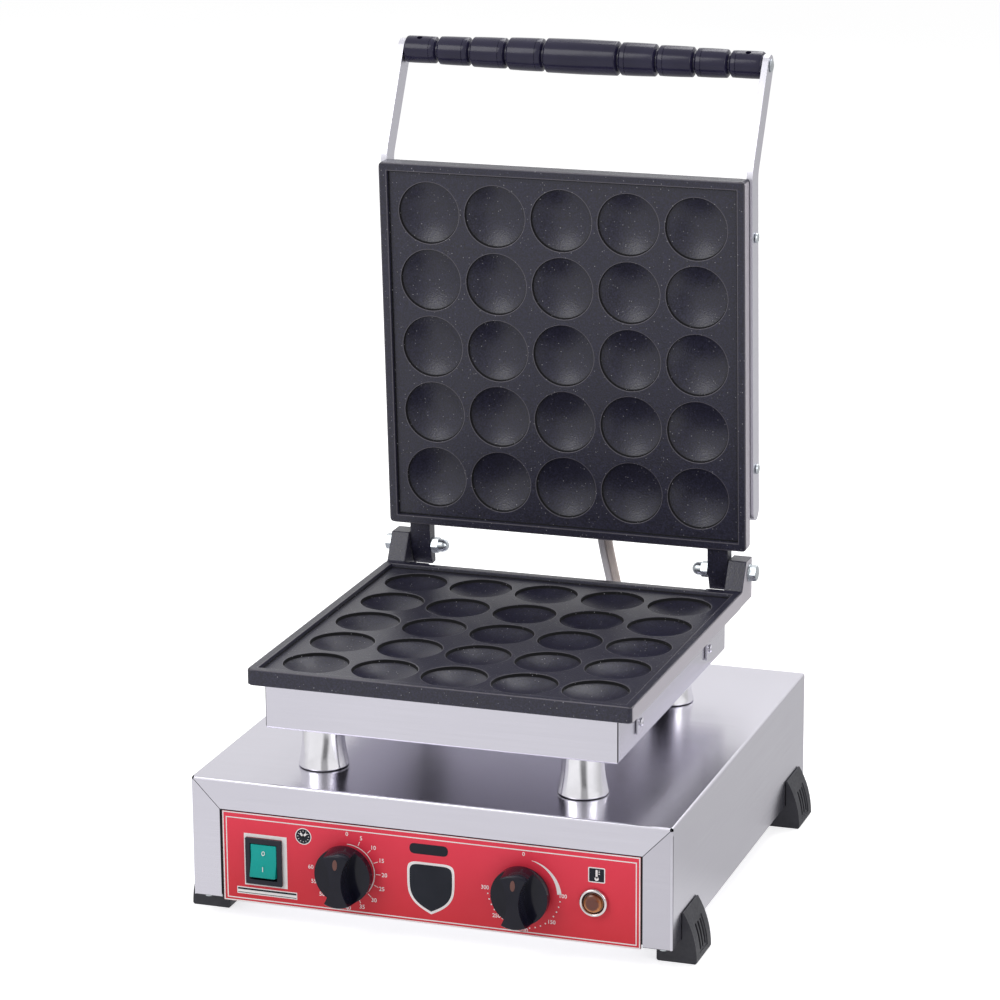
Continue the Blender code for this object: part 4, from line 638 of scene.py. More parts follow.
@dataclass(frozen=True)
class MouldedPlastic(Finish):
    """Moulded plastic or paint with a faint flow texture under its gloss."""

    coat: float = 0.0
    depth: float = 0.02
    specular: float = 0.5

    def paint(self, sketch: Sketch, shader: bpy.types.Node) -> None:
        """Lay the moulding texture, handling marks and gloss.

        Args:
            sketch: the material's tree.
            shader: its Principled shader.
        """
        place = sketch.object_place()
        cloud = sketch.effect(Effects.mottle(), Vector=place, Scale=45.0)
        lighter = tuple(min(1.0, c * 1.25 + 0.004) for c in self.colour)
        colour = sketch.blended(cloud.outputs["Cloud"], self.colour, lighter)
        sketch.feed(shader.inputs["Base Color"], colour)
        rough = sketch.spread(
            cloud.outputs["Fine"], (0.0, 1.0), (self.roughness * 0.85, self.roughness * 1.2)
        )
        sketch.feed(shader.inputs["Roughness"], rough)
        shader.inputs["Coat Weight"].default_value = self.coat
        shader.inputs["Coat Roughness"].default_value = 0.08
        shader.inputs["Specular IOR Level"].default_value = self.specular
        skin = sketch.noise(place, 700.0, 2.0)
        sketch.feed(shader.inputs["Normal"], sketch.bumped(skin, self.depth, 0.0002))


@dataclass(frozen=True)
class MouldedRubber(Finish):
    """Matt rubber with a dusty bloom and a fine skin."""

    bloom: Colour = (0.05, 0.05, 0.062)

    def paint(self, sketch: Sketch, shader: bpy.types.Node) -> None:
        """Lay the bloom and the skin.

        Args:
            sketch: the material's tree.
            shader: its Principled shader.
        """
        place = sketch.object_place()
        cloud = sketch.effect(Effects.mottle(), Vector=place, Scale=70.0)
        skin = sketch.effect(Effects.speckle(), Vector=place, Scale=1600.0)
        share = sketch.figure("MULTIPLY", cloud.outputs["Cloud"], 0.35)
        sketch.feed(shader.inputs["Base Color"], sketch.blended(share, self.colour, self.bloom))
        rough = sketch.spread(cloud.outputs["Fine"], (0.0, 1.0), (0.5, 0.68))
        sketch.feed(shader.inputs["Roughness"], rough)
        sketch.feed(shader.inputs["Normal"], sketch.bumped(skin.outputs["Pebble"], 0.2, 0.0003))


@dataclass(frozen=True)
class PrintedFilm(Finish):
    """Printed film on sheet, with a slow shift towards a deeper tone low down."""

    deeper: Colour = (0.68, 0.030, 0.045)
    low: float = 0.018
    high: float = 0.072
    face: Point = (-0.1589, -0.1587)

    def paint(self, sketch: Sketch, shader: bpy.types.Node) -> None:
        """Lay the shift, the painted shade on the sheet behind the face, the film's orange peel and its thin
        gloss.

        Args:
            sketch: the material's tree.
            shader: its Principled shader.
        """
        place = sketch.object_place()
        _, inward, upward = sketch.axes(place)
        height = sketch.spread(upward, (self.low, self.high), (0.0, 1.0))
        cloud = sketch.effect(Effects.mottle(), Vector=place, Scale=14.0)
        raised = sketch.figure("MULTIPLY", height, 0.85)
        share = sketch.figure("MULTIPLY_ADD", cloud.outputs["Cloud"], 0.15, raised)
        printed = sketch.blended(share, self.deeper, self.colour)
        # Painted shade: parts of the sheet behind its face go near black.
        behind = sketch.spread(inward, self.face, (0.0, 1.0))
        printed = sketch.blended(behind, printed, (0.01, 0.01, 0.012))
        sketch.feed(shader.inputs["Base Color"], printed)
        shader.inputs["Specular IOR Level"].default_value = 0.35
        rough = sketch.spread(
            cloud.outputs["Fine"], (0.0, 1.0), (self.roughness * 0.85, self.roughness * 1.15)
        )
        sketch.feed(shader.inputs["Roughness"], rough)
        peel = sketch.noise(place, 260.0, 2.0)
        sketch.feed(shader.inputs["Normal"], sketch.bumped(peel, 0.03, 0.0002))


@dataclass(frozen=True)
class TintedLens(Finish):
    """Tinted lens or switch cap, with painted light over its height (painted shade at the lens's top, a
    painted highlight at the cap's top), and depth under the gloss.
    """

    shade: Colour = (0.2, 0.05, 0.01)
    low: float = 0.0
    high: float = 0.01
    transmission: float = 0.3
    coat: float = 0.0
    middle: Point | None = None
    core_edge: Point = (0.0038, 0.0050)
    rim_edge: Point = (0.0062, 0.0066)
    rim_shade: Colour = (0.035, 0.010, 0.006)

    def paint(self, sketch: Sketch, shader: bpy.types.Node) -> None:
        """Lay the painted light over height, the painted shade in the lens's middle and round its rim where
        a middle is given, fine ribs and the gloss.

        Args:
            sketch: the material's tree.
            shader: its Principled shader.
        """
        place = sketch.object_place()
        x, _, z = sketch.axes(place)
        # Painted light over height: the lens darkens towards its top as painted shade; the switch cap
        # lightens towards its top as a painted highlight.
        height = sketch.spread(z, (self.low, self.high), (0.0, 1.0))
        cloud = sketch.effect(Effects.mottle(), Vector=place, Scale=220.0)
        raised = sketch.figure("MULTIPLY", height, 0.8)
        share = sketch.figure("MULTIPLY_ADD", cloud.outputs["Cloud"], 0.2, raised)
        tinted = sketch.blended(share, self.colour, self.shade)
        # Painted shade in the lens's middle and in the recess round its rim.
        if self.middle:
            across = sketch.figure("SUBTRACT", x, self.middle[0])
            upward = sketch.figure("SUBTRACT", z, self.middle[1])
            square = sketch.figure("MULTIPLY", upward, upward)
            reach = sketch.figure("SQRT", sketch.figure("MULTIPLY_ADD", across, across, square))
            core = sketch.spread(reach, self.core_edge, (1.0, 0.0))
            tinted = sketch.blended(core, tinted, self.shade)
            rim = sketch.spread(reach, self.rim_edge, (0.0, 1.0))
            tinted = sketch.blended(rim, tinted, self.rim_shade)
        sketch.feed(shader.inputs["Base Color"], tinted)
        shader.inputs["Roughness"].default_value = self.roughness
        shader.inputs["Transmission Weight"].default_value = self.transmission
        shader.inputs["Coat Weight"].default_value = self.coat
        shader.inputs["Coat Roughness"].default_value = 0.06
        shader.inputs["Specular IOR Level"].default_value = 0.3
        ribs = sketch.noise(place, 900.0, 1.0)
        sketch.feed(shader.inputs["Normal"], sketch.bumped(ribs, 0.05, 0.0002))


@dataclass(frozen=True)
class WovenSleeve(Finish):
    """Braided glass-fibre sleeve."""

    crevice: Colour = (0.2, 0.17, 0.15)
    strands: float = 9.0

    def paint(self, sketch: Sketch, shader: bpy.types.Node) -> None:
        """Lay the braid, the painted shade in its crevices, and soiling.

        Args:
            sketch: the material's tree.
            shader: its Principled shader.
        """
        place = sketch.add("ShaderNodeTexCoord").outputs["UV"]
        braid = sketch.effect(Effects.weave(), Vector=place, Strands=self.strands)
        soil = sketch.effect(Effects.mottle(), Vector=sketch.object_place(), Scale=60.0)
        sleeve = sketch.blended(soil.outputs["Cloud"], self.colour, self.toned(0.8))
        # Painted shade in the braid's crevices.
        share = sketch.figure("MULTIPLY", braid.outputs["Crevice"], 0.22)
        sketch.feed(shader.inputs["Base Color"], sketch.blended(share, sleeve, self.crevice))
        rough = sketch.spread(braid.outputs["Strand"], (0.0, 1.0), (0.9, self.roughness))
        sketch.feed(shader.inputs["Roughness"], rough)
        shader.inputs["Sheen Weight"].default_value = 0.25
        normal = sketch.bumped(braid.outputs["Strand"], 0.3, 0.0002)
        sketch.feed(shader.inputs["Normal"], normal)


@dataclass(frozen=True)
class FibreWool(Finish):
    """Fibrous ceramic wool or fired ceramic, with a rough skin."""

    scale: float = 400.0
    depth: float = 0.6

    def paint(self, sketch: Sketch, shader: bpy.types.Node) -> None:
        """Lay the fibres and their shade.

        Args:
            sketch: the material's tree.
            shader: its Principled shader.
        """
        place = sketch.object_place()
        fibre = sketch.noise(sketch.stretched(place, (0.3, 1.0, 1.0)), self.scale, 5.0)
        share = sketch.spread(fibre, (0.35, 0.65), (0.0, 1.0))
        colour = sketch.blended(share, self.toned(0.75), self.colour)
        sketch.feed(shader.inputs["Base Color"], colour)
        rough = sketch.spread(fibre, (0.0, 1.0), (self.roughness, min(1.0, self.roughness * 1.1)))
        sketch.feed(shader.inputs["Roughness"], rough)
        sketch.feed(shader.inputs["Normal"], sketch.bumped(fibre, self.depth, 0.0005))


BOX_STEEL = BrushedSteel("box_steel_brushed", "box_steel", (0.64, 0.625, 0.695), 0.22)
ROD_STEEL = TurnedMetal("rod_steel_turned", "rod_steel", (0.66, 0.65, 0.68), 0.25)
POST_METAL = TurnedMetal("post_aluminium_polished", "post_aluminium", (0.84, 0.83, 0.87), 0.12)
ARM_METAL = BrushedSteel("arm_aluminium_satin", "arm_aluminium", (0.74, 0.73, 0.80), 0.30)
ZINC = TurnedMetal("zinc_plating", "zinc_plate", (0.56, 0.60, 0.63), 0.28)
LAMP_CHROME = TurnedMetal("lamp_chrome_polished", "lamp_chrome", (0.70, 0.66, 0.67), 0.12)
COATING = CastCoating("cast_coating", "cast_plate", (0.0120, 0.0115, 0.024), 0.34)
BLACK_GLOSS = MouldedPlastic(
    "black_gloss_moulding", "black_plastic", (0.006, 0.006, 0.015), 0.13, specular=0.25
)
GRIP_GLOSS = MouldedPlastic(
    "grip_gloss_moulding", "black_plastic", (0.013, 0.011, 0.034), 0.20, specular=0.33
)
BLACK_SATIN = MouldedPlastic(
    "black_satin_moulding", "black_plastic", (0.010, 0.011, 0.021), 0.35, specular=0.3
)
RUBBER = MouldedRubber("foot_rubber_moulding", "foot_rubber", (0.018, 0.018, 0.025), 0.6)
RED_FILM = PrintedFilm("red_panel_film", "panel_print", (0.90, 0.050, 0.095), 0.42)
WHITE_INK = MouldedPlastic("white_ink", "panel_print", (0.90, 0.84, 0.85), 0.45, specular=0.2)
BLACK_INK = MouldedPlastic("black_ink", "panel_print", (0.010, 0.012, 0.020), 0.4, specular=0.2)
POINTER_INK = MouldedPlastic("pointer_ink", "black_plastic", (0.13, 0.05, 0.04), 0.5)
GREEN_CAP = TintedLens(
    "green_rocker_cap",
    "green_rocker",
    (0.0, 0.33, 0.29),
    0.3,
    shade=(0.0, 0.42, 0.38),
    low=0.034,
    high=0.05,
    transmission=0.0,
)
AMBER_LENS = TintedLens(
    "amber_lamp_lens",
    "amber_lens",
    (0.85, 0.30, 0.06),
    0.12,
    shade=(0.16, 0.035, 0.018),
    low=0.0375,
    high=0.047,
    transmission=0.1,
    coat=0.5,
    middle=(0.1111, 0.0429),
)
WOOL = FibreWool("ceramic_wool_mat", "ceramic_wool", (0.85, 0.83, 0.78), 0.9)
CERAMIC = FibreWool("ceramic_fired", "ceramic", (0.82, 0.79, 0.70), 0.55, 900.0, 0.1)
GREY_SLEEVE = WovenSleeve("grey_woven_sleeve", "sleeve_grey", (0.80, 0.77, 0.79), 0.7)
SAND_SLEEVE = WovenSleeve("sand_woven_sleeve", "sleeve_sand", (0.80, 0.70, 0.64), 0.7)


# ---------------------------------------------------------------- mesh helpers


def facing(place: Sequence[float], direction: Sequence[float]) -> Matrix:
    """Return the transform that turns local Z towards a direction at a place.

    Args:
        place: where local zero goes.
        direction: where local Z points.

    Returns:
        The transform.
    """
    turn = Vector(direction).to_track_quat("Z", "Y").to_matrix().to_4x4()
    return Matrix.Translation(Vector(place)) @ turn


def eased(
    points: Sequence[Point], radius: float, steps: int = 4, closed: bool = False
) -> list[Point]:
    """Round the corners of a flat line.

    Args:
        points: the corners.
        radius: how far from a corner the rounding starts.
        steps: pieces in each rounding.
        closed: whether the line goes round.

    Returns:
        The rounded line.
    """
    corners = [Vector(p) for p in points]
    made: list[Point] = []
    for index, corner in enumerate(corners):
        if not closed and index in (0, len(corners) - 1):
            made.append(tuple(corner))
            continue
        back = corners[index - 1] - corner
        ahead = corners[(index + 1) % len(corners)] - corner
        first = corner + back.normalized() * min(radius, back.length * 0.48)
        last = corner + ahead.normalized() * min(radius, ahead.length * 0.48)
        for step in range(steps + 1):
            t = step / steps
            made.append(tuple((1 - t) ** 2 * first + 2 * t * (1 - t) * corner + t**2 * last))
    return made


def ring_outline(radius: float, steps: int, stretch: float = 1.0) -> list[Point]:
    """Return the corners of a round outline."""
    turns = [math.tau * i / steps for i in range(steps)]
    return [(radius * math.cos(t), radius * stretch * math.sin(t)) for t in turns]


def poured(bm: BMesh, part: BMesh, at: Matrix | None = None) -> None:
    """Pour one mesh into another.

    Args:
        bm: the mesh to add to.
        part: the mesh that is added, used up here.
        at: where it goes.
    """
    bmesh.ops.recalc_face_normals(part, faces=part.faces)
    if at is not None:
        bmesh.ops.transform(part, matrix=at, verts=part.verts)
    mesh = bpy.data.meshes.new("poured_part")
    part.to_mesh(mesh)
    part.free()
    bm.from_mesh(mesh)
    bpy.data.meshes.remove(mesh)


def add_turned(bm: BMesh, profile: Sequence[Point], at: Matrix, steps: int = 64) -> None:
    """Spin a half outline into a closed solid.

    Args:
        bm: the mesh to add to.
        profile: rows of radius and distance along local Z.
        at: where the solid goes.
        steps: pieces round it.
    """
    part = bmesh.new()
    verts = [part.verts.new((r, 0.0, along)) for r, along in profile]
    edges = [part.edges.new(pair) for pair in pairwise(verts)]
    bmesh.ops.spin(
        part,
        geom=[*verts, *edges],
        cent=(0, 0, 0),
        axis=(0, 0, 1),
        angle=math.tau,
        steps=steps,
        use_merge=True,
    )
    bmesh.ops.remove_doubles(part, verts=part.verts, dist=1e-7)
    poured(bm, part, at)


def add_bar(bm: BMesh, radius: float, length: float, at: Matrix, steps: int) -> None:
    """Add a plain round bar that goes along local Z."""
    outline = [(0.0, 0.0), (radius, 0.0), (radius, length), (0.0, length)]
    add_turned(bm, outline, at, steps)


def raise_faces(bm: BMesh, faces: Sequence[BMFace], depth: float) -> None:
    """Extrude flat faces along Z.

    Args:
        bm: the mesh.
        faces: its faces that are extruded.
        depth: how far they go.
    """
    made = bmesh.ops.extrude_face_region(bm, geom=faces)["geom"]
    top = [v for v in made if isinstance(v, BMVert)]
    bmesh.ops.translate(bm, verts=top, vec=(0, 0, depth))


def add_prism(bm: BMesh, outline: Sequence[Point], at: Matrix, depth: float) -> None:
    """Extrude a flat outline.

    Args:
        bm: the mesh to add to.
        outline: its corners on local X and Y.
        at: where it goes.
        depth: how far it goes along local Z.
    """
    part = bmesh.new()
    face = part.faces.new([part.verts.new((x, y, 0.0)) for x, y in outline])
    raise_faces(part, [face], depth)
    poured(bm, part, at)


def add_band(
    bm: BMesh, outer: Sequence[Point], inner: Sequence[Point], at: Matrix, depth: float
) -> None:
    """Extrude the band between two outlines of as many corners.

    Args:
        bm: the mesh to add to.
        outer: the outer outline.
        inner: the inner outline.
        at: where it goes.
        depth: how far it goes along local Z.
    """
    part = bmesh.new()
    edges: list[BMEdge] = []
    for outline in (outer, inner):
        verts = [part.verts.new((x, y, 0.0)) for x, y in outline]
        edges += [part.edges.new((a, b)) for a, b in zip(verts, verts[1:] + verts[:1])]
    faces = bmesh.ops.bridge_loops(part, edges=edges)["faces"]
    raise_faces(part, faces, depth)
    poured(bm, part, at)


def add_block(
    bm: BMesh, low: Sequence[float], high: Sequence[float], bevel: float = 0.0, segments: int = 3
) -> None:
    """Add a block with eased edges.

    Args:
        bm: the mesh to add to.
        low: its lowest corner.
        high: its highest corner.
        bevel: width of the eased edges.
        segments: pieces in each eased edge.
    """
    low, high = Vector(low), Vector(high)
    size = Matrix.Diagonal((*(high - low), 1.0))
    at = Matrix.Translation((low + high) / 2) @ size
    verts = bmesh.ops.create_cube(bm, size=1.0, matrix=at)["verts"]
    if bevel:
        ease_edges(bm, list({e for v in verts for e in v.link_edges}), bevel, segments)


def ease_edges(bm: BMesh, edges: list[BMEdge], width: float, segments: int = 3) -> None:
    """Round the given edges.

    Args:
        bm: the mesh.
        edges: the edges.
        width: how far from an edge the rounding starts.
        segments: pieces in it.
    """
    bmesh.ops.bevel(
        bm,
        geom=edges,
        offset=width,
        offset_type="OFFSET",
        segments=segments,
        profile=0.5,
        affect="EDGES",
        clamp_overlap=True,
        material=-1,
    )


def sharp_edges(bm: BMesh, degrees: float = 35.0) -> list[BMEdge]:
    """Return the edges whose faces meet at more than that angle."""
    limit = math.radians(degrees)
    return [e for e in bm.edges if len(e.link_faces) == 2 and e.calc_face_angle(0.0) > limit]


def outer_edges(bm: BMesh, span: Span, near: float = 2e-5) -> list[BMEdge]:
    """Return the edges that lie along two of the span's sides.

    Args:
        bm: the mesh.
        span: the sides.
        near: how near an end must be.

    Returns:
        The edges.
    """
    found = []
    for edge in bm.edges:
        shared = 0
        for axis in range(3):
            for limit in (span.low[axis], span.high[axis]):
                shared += all(abs(v.co[axis] - limit) < near for v in edge.verts)
        if shared >= 2:
            found.append(edge)
    return found


def darken_seams(bm: BMesh, width: float) -> None:
    """Mark faces narrower than a width with painted shade, so that the seam grooves read dark.

    Args:
        bm: the mesh.
        width: the widest seam face.
    """
    shade = bm.faces.layers.float.get("shade") or bm.faces.layers.float.new("shade")
    for face in bm.faces:
        around = sum(e.calc_length() for e in face.edges)
        if 2 * face.calc_area() / around < width and around < 0.4:
            face[shade] = 1.0


def merged_copy(node: str) -> BMesh:
    """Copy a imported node's mesh with its loose triangles joined.

    Args:
        node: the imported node's name.

    Returns:
        The joined mesh.
    """
    bm = bmesh.new()
    bm.from_mesh(bpy.data.objects[node].data)
    bmesh.ops.remove_doubles(bm, verts=bm.verts, dist=2e-6)
    bmesh.ops.dissolve_limit(
        bm, angle_limit=math.radians(0.5), verts=bm.verts, edges=bm.edges, delimit={"NORMAL"}
    )
    for layer in list(bm.loops.layers.uv):
        bm.loops.layers.uv.remove(layer)
    return bm


def scratch_object(name: str, bm: BMesh) -> bpy.types.Object:
    """Make a short-lived object from a mesh.

    Args:
        name: its name.
        bm: its mesh, freed here.

    Returns:
        The object.
    """
    mesh = bpy.data.meshes.new(name)
    bm.to_mesh(mesh)
    bm.free()
    made = bpy.data.objects.new(name, mesh)
    bpy.context.scene.collection.objects.link(made)
    return made


def carved(target: BMesh, tool: BMesh, operation: str = "DIFFERENCE") -> BMesh:
    """Combine two closed meshes with an exact Boolean.

    Args:
        target: the mesh that is worked on, used up here.
        tool: the other mesh, used up here.
        operation: the Boolean's name.

    Returns:
        The result.
    """
    worked = scratch_object("carve_target", target)
    cutter = scratch_object("carve_tool", tool)
    cut = worked.modifiers.new("cut", "BOOLEAN")
    cut.object = cutter
    cut.solver = "EXACT"
    cut.operation = operation
    graph = bpy.context.evaluated_depsgraph_get()
    mesh = bpy.data.meshes.new_from_object(worked.evaluated_get(graph))
    result = bmesh.new()
    result.from_mesh(mesh)
    for obj in (worked, cutter):
        data = obj.data
        bpy.data.objects.remove(obj)
        bpy.data.meshes.remove(data)
    bpy.data.meshes.remove(mesh)
    return result


def finish_piece(
    bm: BMesh,
    name: str,
    finish: Finish,
    body: Body | None,
    replaced: Iterable[str] = (),
    crease: float = 32.0,
    soften: float = 0.0,
) -> bpy.types.Object:
    """Turn a mesh into a dressed piece that rides on a body.

    Args:
        bm: the mesh, used up here.
        name: the piece's name.
        finish: its finish.
        body: the body it rides on, or None where it bends between two.
        replaced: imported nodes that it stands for.
        crease: angle in degrees over which an edge stays sharp.
        soften: width of a bevel on its sharp edges.

    Returns:
        The finished piece.
    """
    mesh = bpy.data.meshes.new(name)
    bm.to_mesh(mesh)
    bm.free()
    mesh.materials.clear()
    mesh.materials.append(finish.material())
    for polygon in mesh.polygons:
        polygon.material_index = 0
    mesh.shade_smooth()
    mesh.set_sharp_from_angle(angle=math.radians(crease))
    piece = bpy.data.objects.new(name, mesh)
    bpy.context.scene.collection.objects.link(piece)
    if soften:
        bevel = piece.modifiers.new("eased_edges", "BEVEL")
        bevel.width = soften
        bevel.segments = 2
        bevel.limit_method = "ANGLE"
        bevel.angle_limit = math.radians(crease)
        bevel.harden_normals = True
    elif body is not None:
        weighted = piece.modifiers.new("even_shading", "WEIGHTED_NORMAL")
        weighted.keep_sharp = True
    if body is not None:
        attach(piece, body.value)
    nodes = list(replaced)
    if nodes:
        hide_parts(*nodes)
    LOG.info("piece %s: %d faces", name, len(mesh.polygons))
    return piece


def dress_node(node: str, finish: Finish) -> None:
    """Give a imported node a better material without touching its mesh.

    Args:
        node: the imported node's name.
        finish: its finish.
    """
    obj = bpy.data.objects[node]
    material = finish.material()
    if not obj.data.materials:
        obj.data.materials.append(material)
    for index in range(len(obj.data.materials)):
        obj.data.materials[index] = material
    LOG.info("packed node %s dressed as %s", node, finish.name)


# ---------------------------------------------------------------- studio


@dataclass
class Studio:
    """Camera, lamps, world and floor."""

    camera_place: Colour = (0.7929, -2.3348, 0.9383)
    yaw: float = 18.85
    pitch: float = 15.51
    roll: float = -0.38
    lens: float = 139.3
    floor_half: float = 14.0
    fill: float = 0.45
    glow: float = 0.62
    mirrored: float = 0.88
    rear_drop: float = 0.42
    gap_from: Point = (0.42, 0.55)

    def set_camera(self) -> None:
        """Make the camera that sees the photograph's frame."""
        a, p, r = (math.radians(v) for v in (self.yaw, self.pitch, self.roll))
        ahead = Vector((-math.sin(a) * math.cos(p), math.cos(a) * math.cos(p), -math.sin(p)))
        right = Vector((math.cos(a), math.sin(a), 0.0))
        up = right.cross(ahead)
        across = math.cos(r) * right + math.sin(r) * up
        upward = -math.sin(r) * right + math.cos(r) * up
        data = bpy.data.cameras.new("studio_camera")
        data.lens = self.lens
        data.sensor_width = 36.0
        data.clip_start = 0.05
        data.clip_end = 50.0
        camera = bpy.data.objects.new("studio_camera", data)
        turn = Matrix((across, upward, -ahead)).transposed().to_4x4()
        camera.matrix_world = Matrix.Translation(self.camera_place) @ turn
        bpy.context.scene.collection.objects.link(camera)
        bpy.context.scene.camera = camera
        bpy.context.scene.view_settings.view_transform = "Standard"
        LOG.info("camera set")

    def set_lamps(self) -> None:
        """Hang the softboxes round the object."""
        rows = [
            ("key_softbox", (-1.1, -1.5, 1.7), (0.0, 0.0, 0.2), 1.3, 18.0),
            ("right_softbox", (1.9, -0.7, 1.1), (0.0, 0.0, 0.2), 1.2, 9.0),
            ("top_softbox", (0.3, 1.3, 1.8), (0.0, 0.0, 0.1), 1.5, 26.0),
        ]
        for name, place, target, size, power in rows:
            data = bpy.data.lights.new(name, "AREA")
            data.shape = "SQUARE"
            data.size = size
            data.energy = power
            lamp = bpy.data.objects.new(name, data)
            lamp.location = place
            towards = Vector(target) - Vector(place)
            lamp.rotation_euler = towards.to_track_quat("-Z", "Y").to_euler()
            bpy.context.scene.collection.objects.link(lamp)
            LOG.info("lamp %s", name)

    def set_world(self) -> None:
        """Make a world that shows white and lights more softly."""
        world = bpy.data.worlds.new("pale_studio")
        bpy.context.scene.world = world
        world.use_nodes = True
        sketch = Sketch(world.node_tree)
        background = world.node_tree.nodes["Background"]
        rays = sketch.add("ShaderNodeLightPath").outputs
        seen = sketch.figure("MAXIMUM", rays["Is Camera Ray"], rays["Is Transmission Ray"])
        background.inputs["Color"].default_value = (1.0, 1.0, 1.0, 1.0)
        way = sketch.add("ShaderNodeTexCoord").outputs["Generated"]
        studio = sketch.effect(Effects.surroundings(), Vector=way).outputs["Level"]
        glossy = sketch.figure("MULTIPLY", rays["Is Glossy Ray"], studio)
        seen = sketch.figure("MAXIMUM", seen, glossy)
        sketch.feed(background.inputs["Strength"], sketch.figure("MAXIMUM", seen, self.fill))
        LOG.info("world set")

    def lay_floor(self) -> None:
        """Lay a wide pale floor that keeps the object's shadow."""
        bm = bmesh.new()
        bmesh.ops.create_grid(bm, x_segments=8, y_segments=8, size=self.floor_half)
        mesh = bpy.data.meshes.new("studio_floor")
        bm.to_mesh(mesh)
        bm.free()
        floor = bpy.data.objects.new("studio_floor", mesh)
        bpy.context.scene.collection.objects.link(floor)
        material = bpy.data.materials.new("pale_floor")
        material.use_nodes = True
        sketch = Sketch(material.node_tree)
        shader = material.node_tree.nodes["Principled BSDF"]
        cloud = sketch.effect(Effects.mottle(), Vector=sketch.object_place(), Scale=1.5)
        paint = sketch.blended(cloud.outputs["Cloud"], (0.80, 0.80, 0.80), (0.78, 0.78, 0.785))
        rays = sketch.add("ShaderNodeLightPath").outputs
        glossy = rays["Is Glossy Ray"]
        sketch.feed(shader.inputs["Base Color"], sketch.blended(glossy, paint, (0.15, 0.15, 0.15)))
        shader.inputs["Roughness"].default_value = 0.9
        shader.inputs["Specular IOR Level"].default_value = 0.0
        round_about = sketch.effect(Effects.surroundings(), Vector=sketch.object_place()).outputs
        dimmed = sketch.figure("MULTIPLY", round_about["Rear"], self.rear_drop)
        kept = sketch.figure("SUBTRACT", 1.0, dimmed)
        reach = sketch.add("ShaderNodeVectorMath", operation="LENGTH")
        sketch.feed(reach.inputs[0], sketch.object_place())
        far = sketch.spread(reach.outputs["Value"], self.gap_from, (0.0, 1.0))
        gap = sketch.figure("SUBTRACT", 1.0, round_about["Level"])
        lost = sketch.figure("MULTIPLY", gap, far)
        level = sketch.figure("SUBTRACT", kept, lost)
        mirrored = sketch.figure("MULTIPLY", level, self.mirrored)
        seen = sketch.figure("MAXIMUM", rays["Is Camera Ray"], rays["Is Transmission Ray"])
        shown = sketch.figure("MULTIPLY", seen, self.glow)
        strength = sketch.figure("MULTIPLY_ADD", glossy, mirrored, shown)
        shader.inputs["Emission Color"].default_value = (1.0, 1.0, 1.0, 1.0)
        sketch.feed(shader.inputs["Emission Strength"], strength)
        mesh.materials.append(material)
        LOG.info("floor laid")


# ---------------------------------------------------------------- leads


